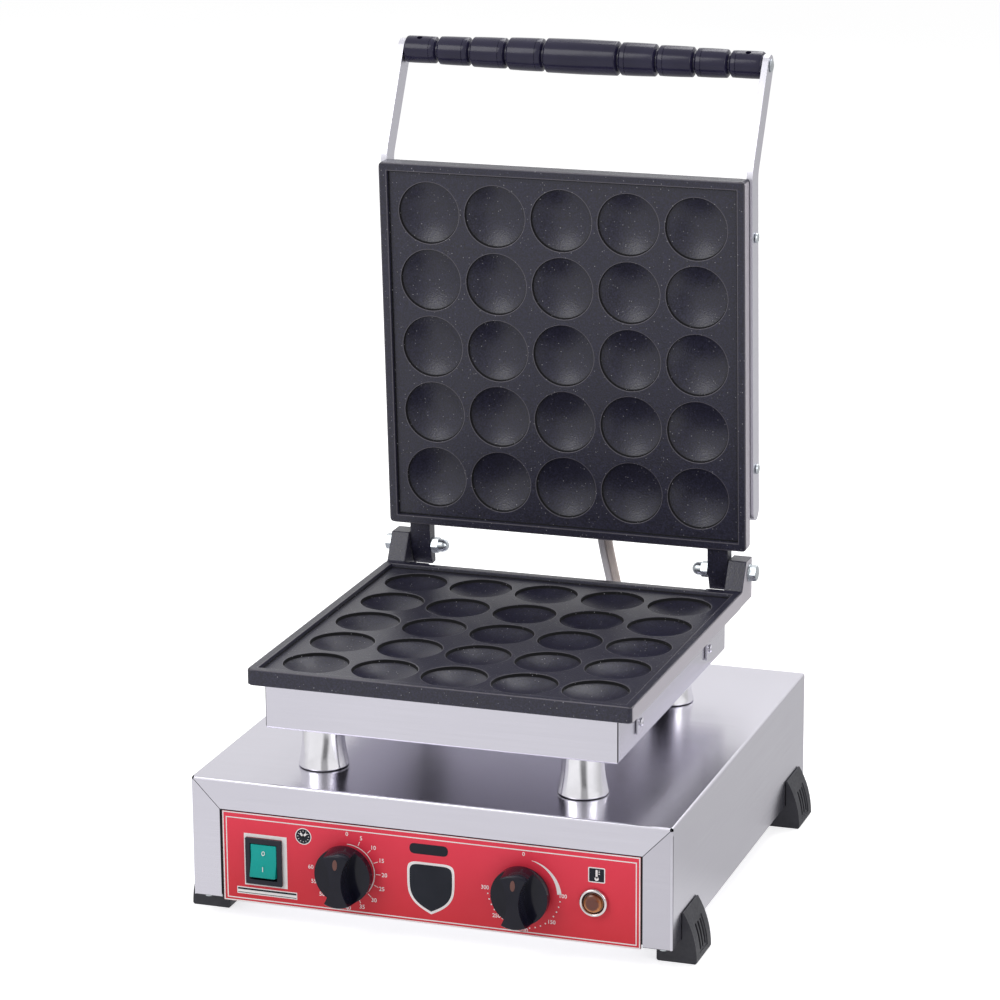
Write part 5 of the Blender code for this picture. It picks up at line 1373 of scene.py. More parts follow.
@dataclass
class TwinLead:
    """Two sleeved leads that hang between the base and the lid, and their bushes."""

    radius: float = 0.0026
    spacing: float = 0.0054
    lid_place: Colour = (0.0195, -0.0245, 0.0176)
    slack: float = 0.010
    stiff_end: float = 0.036
    clear: float = 0.0062
    tail: float = 0.004
    points: int = 28
    sides: int = 20
    bush: tuple[Point, ...] = (
        (0.0057, -0.005),
        (0.0081, -0.005),
        (0.0081, 0.0),
        (0.0094, 0.0),
        (0.0094, 0.003),
        (0.0057, 0.003),
        (0.0057, -0.005),
    )

    def base_place(self) -> Vector:
        """Return the middle of the twin lead on the base's top."""
        span = Span.of("base_lead_bush")
        return Vector((span.middle.x, span.middle.y, span.high.z - 0.003))

    def route(self, shift: float) -> list[Vector]:
        """Work out one lead's centreline.

        Args:
            shift: distance from the pair's middle along X.

        Returns:
            Its points, from the lid's bush to the base's.
        """
        up = Vector((0, 0, 1))
        start = LID_TURN @ Vector(self.lid_place) + LID_OUT * self.clear
        end = self.base_place() + up * self.clear
        hang = Vector((0, self.slack, 0))
        first = start + LID_OUT * self.stiff_end + hang
        last = end + up * self.stiff_end + hang
        line = [start - LID_OUT * (self.clear + self.tail)]
        for index in range(self.points):
            t = index / (self.points - 1)
            s = 1 - t
            line.append(s**3 * start + 3 * s**2 * t * first + 3 * s * t**2 * last + t**3 * end)
        line.append(end - up * (self.clear + self.tail))
        aside = Vector((shift, 0, 0))
        return [point + aside for point in line]

    def sleeve(self, path: list[Vector]) -> BMesh:
        """Carry a ring along a path, with the braid's own map on it.

        Args:
            path: the centreline.

        Returns:
            The closed tube.
        """
        bm = bmesh.new()
        along = bm.verts.layers.float.new("along")
        around = bm.verts.layers.float.new("around")
        sight = (path[1] - path[0]).normalized()
        frame = facing(path[0], sight)
        ring = bmesh.ops.create_circle(
            bm, cap_ends=True, radius=self.radius, segments=self.sides, matrix=frame
        )["verts"]
        for index, vert in enumerate(ring):
            vert[around] = index / self.sides
        edges = list(bm.edges)
        run = 0.0
        for number in range(1, len(path)):
            ahead = path[min(number + 1, len(path) - 1)] - path[number - 1]
            turn = sight.rotation_difference(ahead.normalized()).to_matrix().to_4x4()
            step = (
                Matrix.Translation(path[number]) @ turn @ Matrix.Translation(-path[number - 1])
            )
            sight = ahead.normalized()
            run += (path[number] - path[number - 1]).length
            made = bmesh.ops.extrude_edge_only(bm, edges=edges)["geom"]
            verts = [v for v in made if isinstance(v, BMVert)]
            fresh = set(verts)
            edges = [e for e in made if isinstance(e, BMEdge) and fresh.issuperset(e.verts)]
            bmesh.ops.transform(bm, matrix=step, verts=verts)
            for vert in verts:
                vert[along] = run / (math.tau * self.radius)
        bmesh.ops.holes_fill(bm, edges=edges, sides=0)
        bmesh.ops.recalc_face_normals(bm, faces=bm.faces)
        self.lay_map(bm, along, around)
        return bm

    def lay_map(
        self, bm: BMesh, along: bmesh.types.BMLayerItem, around: bmesh.types.BMLayerItem
    ) -> None:
        """Write the UV map that the braid follows.

        Args:
            bm: the tube.
            along: layer with the distance along it, in its own circumferences.
            around: layer with the share of a turn.
        """
        layer = bm.loops.layers.uv.new("braid")
        for face in bm.faces:
            shares = [loop.vert[around] for loop in face.loops]
            wraps = max(shares) - min(shares) > 0.5 and len(shares) == 4
            for loop, share in zip(face.loops, shares):
                turned = share + 1.0 if wraps and share < 0.5 else share
                loop[layer].uv = (turned, loop.vert[along])

    def hang(self) -> None:
        rows = ((Side.LEFT, GREY_SLEEVE), (Side.RIGHT, SAND_SLEEVE))
        for side, finish in rows:
            path = self.route(side.value * self.spacing / 2)
            node = f"link_lead_{side.label}"
            piece = finish_piece(
                self.sleeve(path), f"sleeved_lead_{side.label}", finish, None, [node], 60.0
            )
            low = path[-1] + Vector((0, 0, 0.035))
            high = path[0] - Vector((0, 0, 0.012))
            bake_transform(piece, Body.BASE.value, Body.LID.value, start=low, end=high)

    def fit_bushes(self) -> None:
        """Fit the two bushes that the leads pass through."""
        profile = eased(self.bush, 0.0006)
        profile[-1] = profile[0]
        bm = bmesh.new()
        add_turned(bm, profile, facing(self.base_place(), (0, 0, 1)), 48)
        finish_piece(bm, "base_lead_gland", BLACK_SATIN, Body.BASE, ["base_lead_bush"])
        bm = bmesh.new()
        add_turned(bm, profile, facing(LID_TURN @ Vector(self.lid_place), LID_OUT), 48)
        finish_piece(bm, "lid_lead_gland", BLACK_SATIN, Body.LID, ["lid_lead_bush"])


# ---------------------------------------------------------------- base


@dataclass
class BaseBox:
    """Folded housing, rear sheet, floor sheet, feet and their screws."""

    seam: float = 0.0004
    seam_depth: float = 0.0004
    notch: float = 0.0013
    notch_length: float = 0.0042
    seam_stop: float = 0.005
    ease: float = 0.0008
    stile_shade: float = 0.13
    window_half: float = 0.143
    window_top: float = 0.0771
    sheet: float = 0.0012
    foot_low: float = 0.0045
    foot_rise: float = 0.0205
    slot_pitch: float = 0.0052

    def build(self) -> None:
        """Build every piece of the box."""
        self.build_housing()
        for node, name in (("back_panel", "rear_sheet"), ("bottom_plate", "floor_sheet")):
            finish_piece(merged_copy(node), name, BOX_STEEL, Body.BASE, [node])
        for row in Row:
            for side in Side:
                self.build_foot(row, side)

    def add_mitre_lines(self, tool: BMesh, span: Span) -> None:
        """Add the lines that go from the window's corners to the box's.

        Args:
            tool: the mesh that is cut away.
            span: the shell's extent.
        """
        for side in Side:
            corner = Vector((side.value * span.high.x, 0, span.high.z))
            inner = Vector((side.value * self.window_half, 0, self.window_top))
            reach = corner - inner
            across = Vector((-reach.z, 0, reach.x)).normalized() * self.seam / 2
            ends = (inner - reach * 0.02, inner + reach * 1.02)
            outline = [(ends[0] + across).xz, (ends[1] + across).xz]
            outline += [(ends[1] - across).xz, (ends[0] - across).xz]
            at = Matrix.Translation((0, span.low.y + self.seam_depth, 0)) @ FACING_FRONT
            add_prism(tool, outline, at, 2 * self.seam_depth)

    def add_weld_seams(self, tool: BMesh, span: Span) -> None:
        """Add the seams behind the front flange and the notches at its top corners.

        Args:
            tool: the mesh that is cut away.
            span: the shell's extent.
        """
        back = span.low.y + self.sheet
        for side in Side:
            edge = side.value * span.high.x
            ends = sorted((edge - side.value * self.seam_depth, edge + side.value * 0.001))
            low = (ends[0], back, span.low.z - 0.001)
            add_block(tool, low, (ends[1], back + self.seam, span.high.z - self.seam_stop))
            place = Vector((edge, span.low.y, span.high.z)) + Vector((side.value, -1, 1)) * 0.001
            away = Vector((-side.value, 1, -1))
            add_bar(tool, self.notch, self.notch_length, facing(place, away), 16)

    def build_housing(self) -> None:
        """Build the folded shell with its mitre lines, weld seams and corner notches."""
        span = Span.of("housing_shell")
        bm = merged_copy("housing_shell")
        ease_edges(bm, outer_edges(bm, span), self.ease, 3)
        for add_marks in (self.add_mitre_lines, self.add_weld_seams):
            tool = bmesh.new()
            add_marks(tool, span)
            bm = carved(bm, tool)
        # Painted shade in the mitre lines, weld seams and notches.
        darken_seams(bm, self.seam * 1.05)
        # Painted shade: the right stile's front faces get a darker tone that stands in for its darker
        # reflection.
        shade = bm.faces.layers.float["shade"]
        for face in bm.faces:
            middle = face.calc_center_median()
            if face.normal.y < -0.9 and middle.x > self.window_half and face.calc_area() > 1e-4:
                face[shade] = self.stile_shade
        finish_piece(bm, "housing", BOX_STEEL, Body.BASE, ["housing_shell"], crease=40.0)

    def build_foot(self, row: Row, side: Side) -> None:
        """Build one foot with eased edges, and its screw.

        Args:
            row: front or rear.
            side: left or right.
        """
        label = f"{row.value}_{side.label}"
        bm = merged_copy(f"foot_{label}")
        middle = Span.of(f"foot_{label}").middle.y
        heights = [self.foot_low + self.foot_rise * step / 10 for step in range(11)]
        curve = [(self.reach_at(bm, side, z), z) for z in heights]
        rows = [(0.0006, 1, 0.0180, 0), (0.0022, 3, 0.0028, 1)]
        for depth, count, width, trim in rows:
            line = curve[trim : len(curve) - trim]
            outline = [(side.value * (x - depth), z) for x, z in line]
            outline += [(side.value * (x + 0.004), z) for x, z in reversed(line)]
            tool = bmesh.new()
            for index in range(count):
                start = middle + (index - (count - 1) / 2) * self.slot_pitch + width / 2
                at = Matrix.Translation((0, start, 0)) @ FACING_FRONT
                add_prism(tool, outline, at, width)
            bm = carved(bm, tool)
        finish_piece(bm, f"foot_pad_{label}", RUBBER, Body.BASE, [f"foot_{label}"], soften=0.0005)
        dress_node(f"foot_screw_{label}", ZINC)

    def reach_at(self, bm: BMesh, side: Side, height: float) -> float:
        """Return how far out a foot reaches at a height.

        Args:
            bm: the foot.
            side: left or right.
            height: the height.

        Returns:
            The distance from the middle plane.
        """
        found = []
        for edge in bm.edges:
            a, b = (v.co for v in edge.verts)
            if min(a.z, b.z) < height < max(a.z, b.z):
                share = (height - a.z) / (b.z - a.z)
                found.append(side.value * a.lerp(b, share).x)
        return max(found)


@dataclass
class Posts:
    """Flared polished posts between the box and the pan."""

    lip: float = 0.001
    base_radius: float = 0.0166
    top_radius: float = 0.0136
    flare: float = 0.0030
    spigot: float = 0.004
    bottom: float = 0.0977
    top: float = 0.1262

    def build(self) -> None:
        """Turn the four posts."""
        for row in Row:
            for side in Side:
                node = f"post_{row.value}_{side.label}"
                span = Span.of(node)
                bm = bmesh.new()
                self.turn(bm, span)
                finish_piece(bm, f"flared_{node}", POST_METAL, Body.BASE, [node])

    def turn(self, bm: BMesh, span: Span) -> None:
        """Turn one post.

        Args:
            bm: the mesh to add to.
            span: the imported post's span, spigots included.
        """
        bottom, height = self.bottom, self.top - self.bottom
        profile = [(0.0, span.low.z - bottom), (self.spigot, span.low.z - bottom)]
        profile.append((self.spigot, 0.0))
        profile += [
            (self.base_radius - 0.0012, 0.0),
            (self.base_radius - 0.0002, 0.0003),
            (self.base_radius, 0.0007),
            (self.base_radius, self.lip),
        ]
        for step in range(1, 15):
            share = step / 14
            radius = self.top_radius + self.flare * (1 - share) ** 2.2
            profile.append((radius, self.lip + (height - self.lip) * share))
        profile += [
            (self.spigot, height),
            (self.spigot, span.high.z - bottom),
            (0.0, span.high.z - bottom),
        ]
        at = Matrix.Translation((span.middle.x, span.middle.y, bottom))
        add_turned(bm, profile, at, 72)


# ---------------------------------------------------------------- control panel


@dataclass
class ControlPanel:
    """Printed panel with its border, dials, pictograms and blank plates."""

    box_bottom: float = 0.016
    face_y: float = -0.1592
    timer_x: float = -0.0551
    thermostat_x: float = 0.0643
    numeral: float = 0.0046
    timer_ring: float = 0.0253
    thermostat_ring: float = 0.0244
    prints: dict[Ink, BMesh] = field(default_factory=dict)

    def build(self) -> None:
        """Build the panel and everything printed on it."""
        span = Span.of("control_panel")
        self.face_y = span.low.y
        self.prints = {ink: bmesh.new() for ink in Ink}
        bm = merged_copy("control_panel")
        finish_piece(bm, "panel_sheet", RED_FILM, Body.BASE, ["control_panel"])
        self.print_borders()
        self.print_switch_border()
        self.print_timer_dial()
        self.print_thermostat_dial()
        self.print_clock()
        self.print_thermometer()
        self.print_blank_plates()
        inks = {Ink.WHITE: WHITE_INK, Ink.BLACK: BLACK_INK, Ink.TOP_WHITE: WHITE_INK}
        for ink, bm in self.prints.items():
            name = f"panel_print_{ink.name.lower()}"
            finish_piece(bm, name, inks[ink], Body.BASE)

    def at(self, x: float, z: float, turn: float = 0.0) -> Matrix:
        """Return the transform to a place on the panel's face, turned clockwise.

        Args:
            x: place along the panel, in metres.
            z: height over the box's bottom.
            turn: angle in degrees, clockwise as seen.

        Returns:
            The transform.
        """
        place = Matrix.Translation((x, self.face_y, self.box_bottom + z))
        return place @ FACING_FRONT @ Matrix.Rotation(math.radians(-turn), 4, "Z")

    def plate(self, ink: Ink, outline: Sequence[Point], at: Matrix) -> None:
        """Print a filled outline."""
        add_prism(self.prints[ink], outline, at, ink.value)

    def frame(self, ink: Ink, outer: Sequence[Point], inner: Sequence[Point], at: Matrix) -> None:
        """Print the band between two outlines of as many corners."""
        add_band(self.prints[ink], outer, inner, at, ink.value)

    def box_outline(
        self, left: float, low: float, right: float, high: float, radius: float = 0.0
    ) -> list[Point]:
        """Return a rectangle's outline, with its corners rounded where a radius is given."""
        corners = [(left, low), (right, low), (right, high), (left, high)]
        return eased(corners, radius, 5, closed=True) if radius else corners

    def print_borders(self) -> None:
        """Print the keyline and the white line on the panel's edge."""
        flat = self.at(0.0, 0.0)
        rows = [
            (0.1413, -0.0014, 0.0599, 0.0008),
            (0.1390, 0.0006, 0.0564, 0.0007),
        ]
        for half, low, high, width in rows:
            outer = self.box_outline(-half, low, half, high)
            inner = self.box_outline(-half + width, low + width, half - width, high - width)
            self.frame(Ink.WHITE, outer, inner, flat)

    def print_switch_border(self) -> None:
        """Print the border round the switch and the bars under it."""
        flat = self.at(0.0, 0.0)
        outer = self.box_outline(-0.1266, 0.0106, -0.0968, 0.0462)
        inner = self.box_outline(-0.1249, 0.0124, -0.1001, 0.0438)
        self.frame(Ink.WHITE, outer, inner, flat)
        outline = self.box_outline(-0.1321, 0.0041, -0.0903, 0.0089)
        self.plate(Ink.WHITE, outline, flat)
        self.plate(Ink.BLACK, self.box_outline(-0.1316, 0.0070, -0.0908, 0.0082), flat)
        self.plate(Ink.BLACK, self.box_outline(-0.1316, 0.0048, -0.0908, 0.0052), flat)

    def numerals(self, ink: Ink, text: str, size: float, at: Matrix) -> None:
        """Print a short number with its middle at a place.

        Args:
            ink: the ink.
            text: the number.
            size: height of the type.
            at: where its middle goes.
        """
        curve = bpy.data.curves.new("numeral", "FONT")
        curve.body = text
        curve.size = size
        curve.align_x = "CENTER"
        curve.align_y = "CENTER"
        curve.offset = size * 0.012
        curve.resolution_u = 3
        holder = bpy.data.objects.new("numeral", curve)
        bpy.context.scene.collection.objects.link(holder)
        graph = bpy.context.evaluated_depsgraph_get()
        mesh = bpy.data.meshes.new_from_object(holder.evaluated_get(graph))
        bm = bmesh.new()
        bm.from_mesh(mesh)
        bmesh.ops.remove_doubles(bm, verts=bm.verts, dist=1e-7)
        raise_faces(bm, bm.faces[:], ink.value)
        poured(self.prints[ink], bm, at)
        bpy.data.objects.remove(holder)
        bpy.data.curves.remove(curve)
        bpy.data.meshes.remove(mesh)

    def dial_at(self, x: float, angle: float, radius: float, turn: float = 0.0) -> Matrix:
        """Return a place on a dial, by its clockwise angle from the top.

        Args:
            x: the dial's middle along the panel.
            angle: degrees clockwise from the top.
            radius: distance from the middle.
            turn: how far what goes there is turned clockwise.

        Returns:
            The transform.
        """
        a = math.radians(angle)
        return self.at(
            x + radius * math.sin(a), CONTROL_Z - self.box_bottom + radius * math.cos(a), turn
        )

    def arc_band(
        self, x: float, start: float, end: float, radius: float, widths: Point, steps: int = 48
    ) -> None:
        """Print an arc whose width grows along it.

        Args:
            x: the dial's middle along the panel.
            start: first angle, clockwise from the top.
            end: last angle.
            radius: the arc's inner radius.
            widths: its width at the start and at the end.
            steps: pieces in it.
        """
        inner, outer = [], []
        for step in range(steps + 1):
            share = step / steps
            a = math.radians(start + (end - start) * share)
            wide = radius + widths[0] + (widths[1] - widths[0]) * share
            inner.append((radius * math.sin(a), radius * math.cos(a)))
            outer.append((wide * math.sin(a), wide * math.cos(a)))
        outline = outer + inner[::-1]
        self.plate(Ink.WHITE, outline, self.at(x, CONTROL_Z - self.box_bottom))

    def print_timer_dial(self) -> None:
        """Print the timer's numbers, ticks and arc."""
        minutes = {0: 0.0, 5: 22.5, 10: 45.0, 15: 67.5, 20: 90.0, 25: 112.5, 30: 135.0}
        minutes |= {35: 157.5, 40: 180.0, 45: 202.5, 50: 225.0, 55: 247.5, 60: 270.0}
        self.arc_band(self.timer_x, 0.0, 157.5, 0.0182, (0.0005, 0.0008))
        for minute, angle in minutes.items():
            at = self.dial_at(self.timer_x, angle, self.timer_ring)
            self.numerals(Ink.WHITE, str(minute), self.numeral * 0.85, at)
            if 0 < minute < 60:
                tick = self.box_outline(-0.00022, -0.0015, 0.00022, 0.0016)
                at = self.dial_at(self.timer_x, angle, 0.0211, angle)
                self.plate(Ink.WHITE, tick, at)

    def print_thermostat_dial(self) -> None:
        """Print the thermostat's numbers, dots and growing wedge."""
        degrees = {0: 0.0, 100: 90.0, 150: 135.0, 200: 180.0, 250: 225.0, 300: 270.0}
        self.arc_band(self.thermostat_x, 14.0, 88.0, 0.0222, (0.0003, 0.0030))
        for number, angle in degrees.items():
            reach = self.thermostat_ring + (0.0016 if number else 0.001)
            at = self.dial_at(self.thermostat_x, angle, reach)
            self.numerals(Ink.WHITE, str(number), self.numeral * 0.8, at)
        for angle in range(99, 270, 9):
            if angle % 45:
                at = self.dial_at(self.thermostat_x, angle, self.thermostat_ring)
                self.plate(Ink.WHITE, ring_outline(0.0005, 12), at)

    def print_clock(self) -> None:
        """Print the round clock pictogram."""
        at = self.at(-0.0852, 0.0483)
        self.plate(Ink.WHITE, ring_outline(0.0056, 40), at)
        self.plate(Ink.BLACK, ring_outline(0.0050, 40), at)
        for angle, length in ((-45.0, 0.0030), (45.0, 0.0030)):
            hand = self.box_outline(-0.0007, -0.0007, 0.0007, length)
            self.plate(Ink.TOP_WHITE, hand, at @ Matrix.Rotation(math.radians(-angle), 4, "Z"))
        for angle in range(0, 360, 30):
            mark = self.box_outline(-0.0002, 0.0033, 0.0002, 0.0040)
            turn = Matrix.Rotation(math.radians(angle), 4, "Z")
            self.plate(Ink.TOP_WHITE, mark, at @ turn)

    def print_thermometer(self) -> None:
        """Print the thermometer pictogram in its rounded square."""
        at = self.at(0.11265, 0.04495)
        self.plate(Ink.WHITE, self.box_outline(-0.0056, -0.0051, 0.0056, 0.0051, 0.001), at)
        self.plate(Ink.BLACK, self.box_outline(-0.0049, -0.0044, 0.0049, 0.0044, 0.0006), at)
        stem = self.box_outline(-0.0007, -0.0022, 0.0007, 0.0036, 0.0006)
        self.plate(Ink.TOP_WHITE, stem, at)
        bulb = at @ Matrix.Translation((0, -0.0024, 0))
        self.plate(Ink.TOP_WHITE, ring_outline(0.0014, 20), bulb)
        for step in range(3):
            mark = self.box_outline(0.0012, 0.0006 + 0.0011 * step, 0.0022, 0.0010 + 0.0011 * step)
            self.plate(Ink.TOP_WHITE, mark, at)

    def print_blank_plates(self) -> None:
        """Print the blank dark pill and the blank shield with its white edge."""
        at = self.at(0.0006, 0.0490)
        self.plate(Ink.BLACK, self.box_outline(-0.0130, -0.0035, 0.0130, 0.0035, 0.0034), at)
        at = self.at(0.0018, 0.0237)
        for ink, share in ((Ink.WHITE, 1.0), (Ink.BLACK, 0.9)):
            outline = [(x * share, y * share) for x, y in self.shield_outline()]
            self.plate(ink, outline, at)

    def shield_outline(self) -> list[Point]:
        """Draw a plain shield with a flat top and a pointed foot.

        Returns:
            Its outline.
        """
        half = [(0.0, 0.0165), (0.0125, 0.0165), (0.0160, 0.0140), (0.0160, 0.0)]
        half += [(0.0150, -0.0060), (0.0115, -0.0115), (0.0060, -0.0155), (0.0, -0.0185)]
        right = eased(half, 0.004, 4)
        left = [(-x, y) for x, y in reversed(right[1:-1])]
        return right + left


@dataclass
class RockerSwitch:
    """Bezel, case and green cap of the rocker switch."""

    pivot: Colour = (-0.1125, -0.1558, 0.044)
    width: float = 0.018
    tilt: float = 8.0
    mark_out: float = 0.00627
    mark_up: float = 0.0052
    mark_lean: float = 8.0

    def build(self) -> None:
        """Build the switch's pieces."""
        bm = merged_copy("switch_body")
        finish_piece(
            bm, "switch_bezel", BLACK_SATIN, Body.BASE, ["switch_body"], soften=0.0003
        )
        self.build_cap()

    def place(self) -> Matrix:
        """Return the cap's rest place, tilted about its pivot."""
        turn = Matrix.Rotation(math.radians(-self.tilt), 4, "X")
        return Matrix.Translation(self.pivot) @ turn

    def build_cap(self) -> None:
        """Build the hollowed green cap with its two marks."""
        bm = bmesh.new()
        face = []
        for step in range(13):
            z = -0.011 + 0.022 * step / 12
            face.append((-0.007 + 0.0014 * (1 - abs(z / 0.011) ** 1.6), z))
        outline = face + [(-0.001, 0.011), (0.004, 0.0055), (0.004, -0.0055), (-0.001, -0.011)]
        at = self.place() @ Matrix.Translation((-self.width / 2, 0, 0)) @ FACING_SIDE
        add_prism(bm, outline, at, self.width)
        ease_edges(bm, sharp_edges(bm, 40.0), 0.0006, 3)
        finish_piece(bm, "rocker_cap", GREEN_CAP, Body.ROCKER, ["rocker"])
        bm = bmesh.new()
        front = self.place() @ Matrix.Translation((0, -self.mark_out, self.mark_up)) @ FACING_FRONT
        lean = Matrix.Rotation(math.radians(-self.mark_lean), 4, "X")
        outer = ring_outline(0.0011, 24, 1.35)
        inner = ring_outline(0.00072, 24, 1.45)
        add_band(bm, outer, inner, front @ lean, 0.0003)
        front = self.place() @ Matrix.Translation((0, -self.mark_out, -self.mark_up)) @ FACING_FRONT
        lean = Matrix.Rotation(math.radians(self.mark_lean), 4, "X")
        bar = [(-0.00025, -0.0016), (0.00025, -0.0016), (0.00025, 0.0016), (-0.00025, 0.0016)]
        add_prism(bm, bar, front @ lean, 0.0003)
        finish_piece(bm, "rocker_marks", WHITE_INK, Body.ROCKER)


@dataclass
class DialKnob:
    """Round knob with a grip bar left between two scoops."""

    node: str
    body: Body
    radius: float = 0.0190
    face_radius: float = 0.0180
    gap: float = 0.0032
    skirt: float = 0.009
    depth: float = 0.022
    dome: float = 0.0012
    scoop_radius: float = 0.0300
    scoop_x: float = 0.0339
    edge: float = 0.0012
    pointer_up: float = 0.0120
    pointer_behind: float = 0.00082
    pointer_lean: float = 5.0

    def build(self) -> None:
        """Turn the knob, scoop it and add its pointer."""
        span = Span.of(self.node)
        front = facing((span.middle.x, span.high.y, span.middle.z), (0, -1, 0))
        bm = bmesh.new()
        brow = self.face_radius - self.edge
        profile = [
            (0.0, 0.0),
            (0.009, 0.0),
            (0.009, self.gap),
            (self.radius - 0.0006, self.gap),
            (self.radius, self.gap + 0.0006),
            (self.radius, self.skirt),
            (self.face_radius, self.depth - self.dome - self.edge),
        ]
        for step in range(1, 5):
            a = math.pi / 2 * step / 4
            profile.append(
                (
                    self.face_radius - self.edge * (1 - math.cos(a)),
                    self.depth - self.dome - self.edge * (1 - math.sin(a)),
                )
            )
        for step in range(1, 9):
            r = brow * (1 - step / 8)
            profile.append((r, self.depth - self.dome + self.dome * (1 - (r / brow) ** 2)))
        add_turned(bm, profile, front, 96)
        tool = bmesh.new()
        for side in Side:
            at = front @ Matrix.Translation((side.value * self.scoop_x, 0, self.skirt))
            far = self.depth + 0.004 - self.skirt
            add_bar(tool, self.scoop_radius, far, at, 160)
        bm = carved(bm, tool)
        name = f"{self.node}_body"
        finish_piece(bm, name, BLACK_GLOSS, self.body, [self.node], soften=0.0008)
        self.add_pointer(span)

    def add_pointer(self, span: Span) -> None:
        """Add the faint oval pointer near the top of the bar.

        Args:
            span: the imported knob's span.
        """
        bm = bmesh.new()
        outline = ring_outline(0.0016, 24, 2.2)
        x, z = span.middle.x, span.middle.z + self.pointer_up
        lean = Matrix.Rotation(math.radians(-self.pointer_lean), 4, "X")
        at = Matrix.Translation((x, span.low.y + self.pointer_behind, z)) @ lean @ FACING_FRONT
        add_prism(bm, outline, at, 0.0003)
        finish_piece(bm, f"{self.node}_pointer", POINTER_INK, self.body)


@dataclass
class SignalLamp:
    """Chrome ring and amber lens of the signal lamp."""

    ring_radius: float = 0.0094
    ring_depth: float = 0.0032
    lens_radius: float = 0.0053
    lens_dome: float = 0.0014
    flange: float = 0.0068

    def build(self) -> None:
        """Turn the ring and the lens."""
        ring = Span.of("lamp_bezel")
        place = (ring.middle.x, ring.low.y + self.ring_depth, ring.middle.z)
        bm = bmesh.new()
        depth = ring.high.y - ring.low.y - self.ring_depth
        lip = self.lens_radius + 0.0002
        profile = [
            (lip, -depth),
            (0.0062, -depth),
            (0.0062, 0.0),
            (self.ring_radius, 0.0),
            (self.ring_radius, 0.0016),
            (0.0090, 0.0028),
            (0.0083, self.ring_depth),
            (0.0074, self.ring_depth - 0.0003),
            (0.0070, 0.0008),
            (lip, 0.0008),
            (lip, -depth),
        ]
        add_turned(bm, eased(profile, 0.0004, 3), facing(place, (0, -1, 0)), 72)
        finish_piece(bm, "lamp_ring", LAMP_CHROME, Body.BASE, ["lamp_bezel"])
        lens = Span.of("lamp_lens")
        bm = bmesh.new()
        full = lens.high.y - lens.low.y
        seat = lens.high.y - place[1] + 0.0009
        profile = [(0.0, 0.0), (self.lens_radius - 0.0003, 0.0), (self.lens_radius - 0.0003, seat)]
        profile += [(self.flange, seat), (self.flange, seat + 0.0003), (0.0060, seat + 0.0005)]
        profile += [(0.0058, full - self.lens_dome)]
        for step in range(1, 11):
            a = math.pi / 2 * step / 10
            r = 0.0056 * math.cos(a)
            profile.append((r, full - self.lens_dome + self.lens_dome * math.sin(a)))
        add_turned(bm, profile, facing((lens.middle.x, lens.high.y, lens.middle.z), (0, -1, 0)), 48)
        finish_piece(bm, "lamp_glass", AMBER_LENS, Body.BASE, ["lamp_lens"])


# ---------------------------------------------------------------- plates


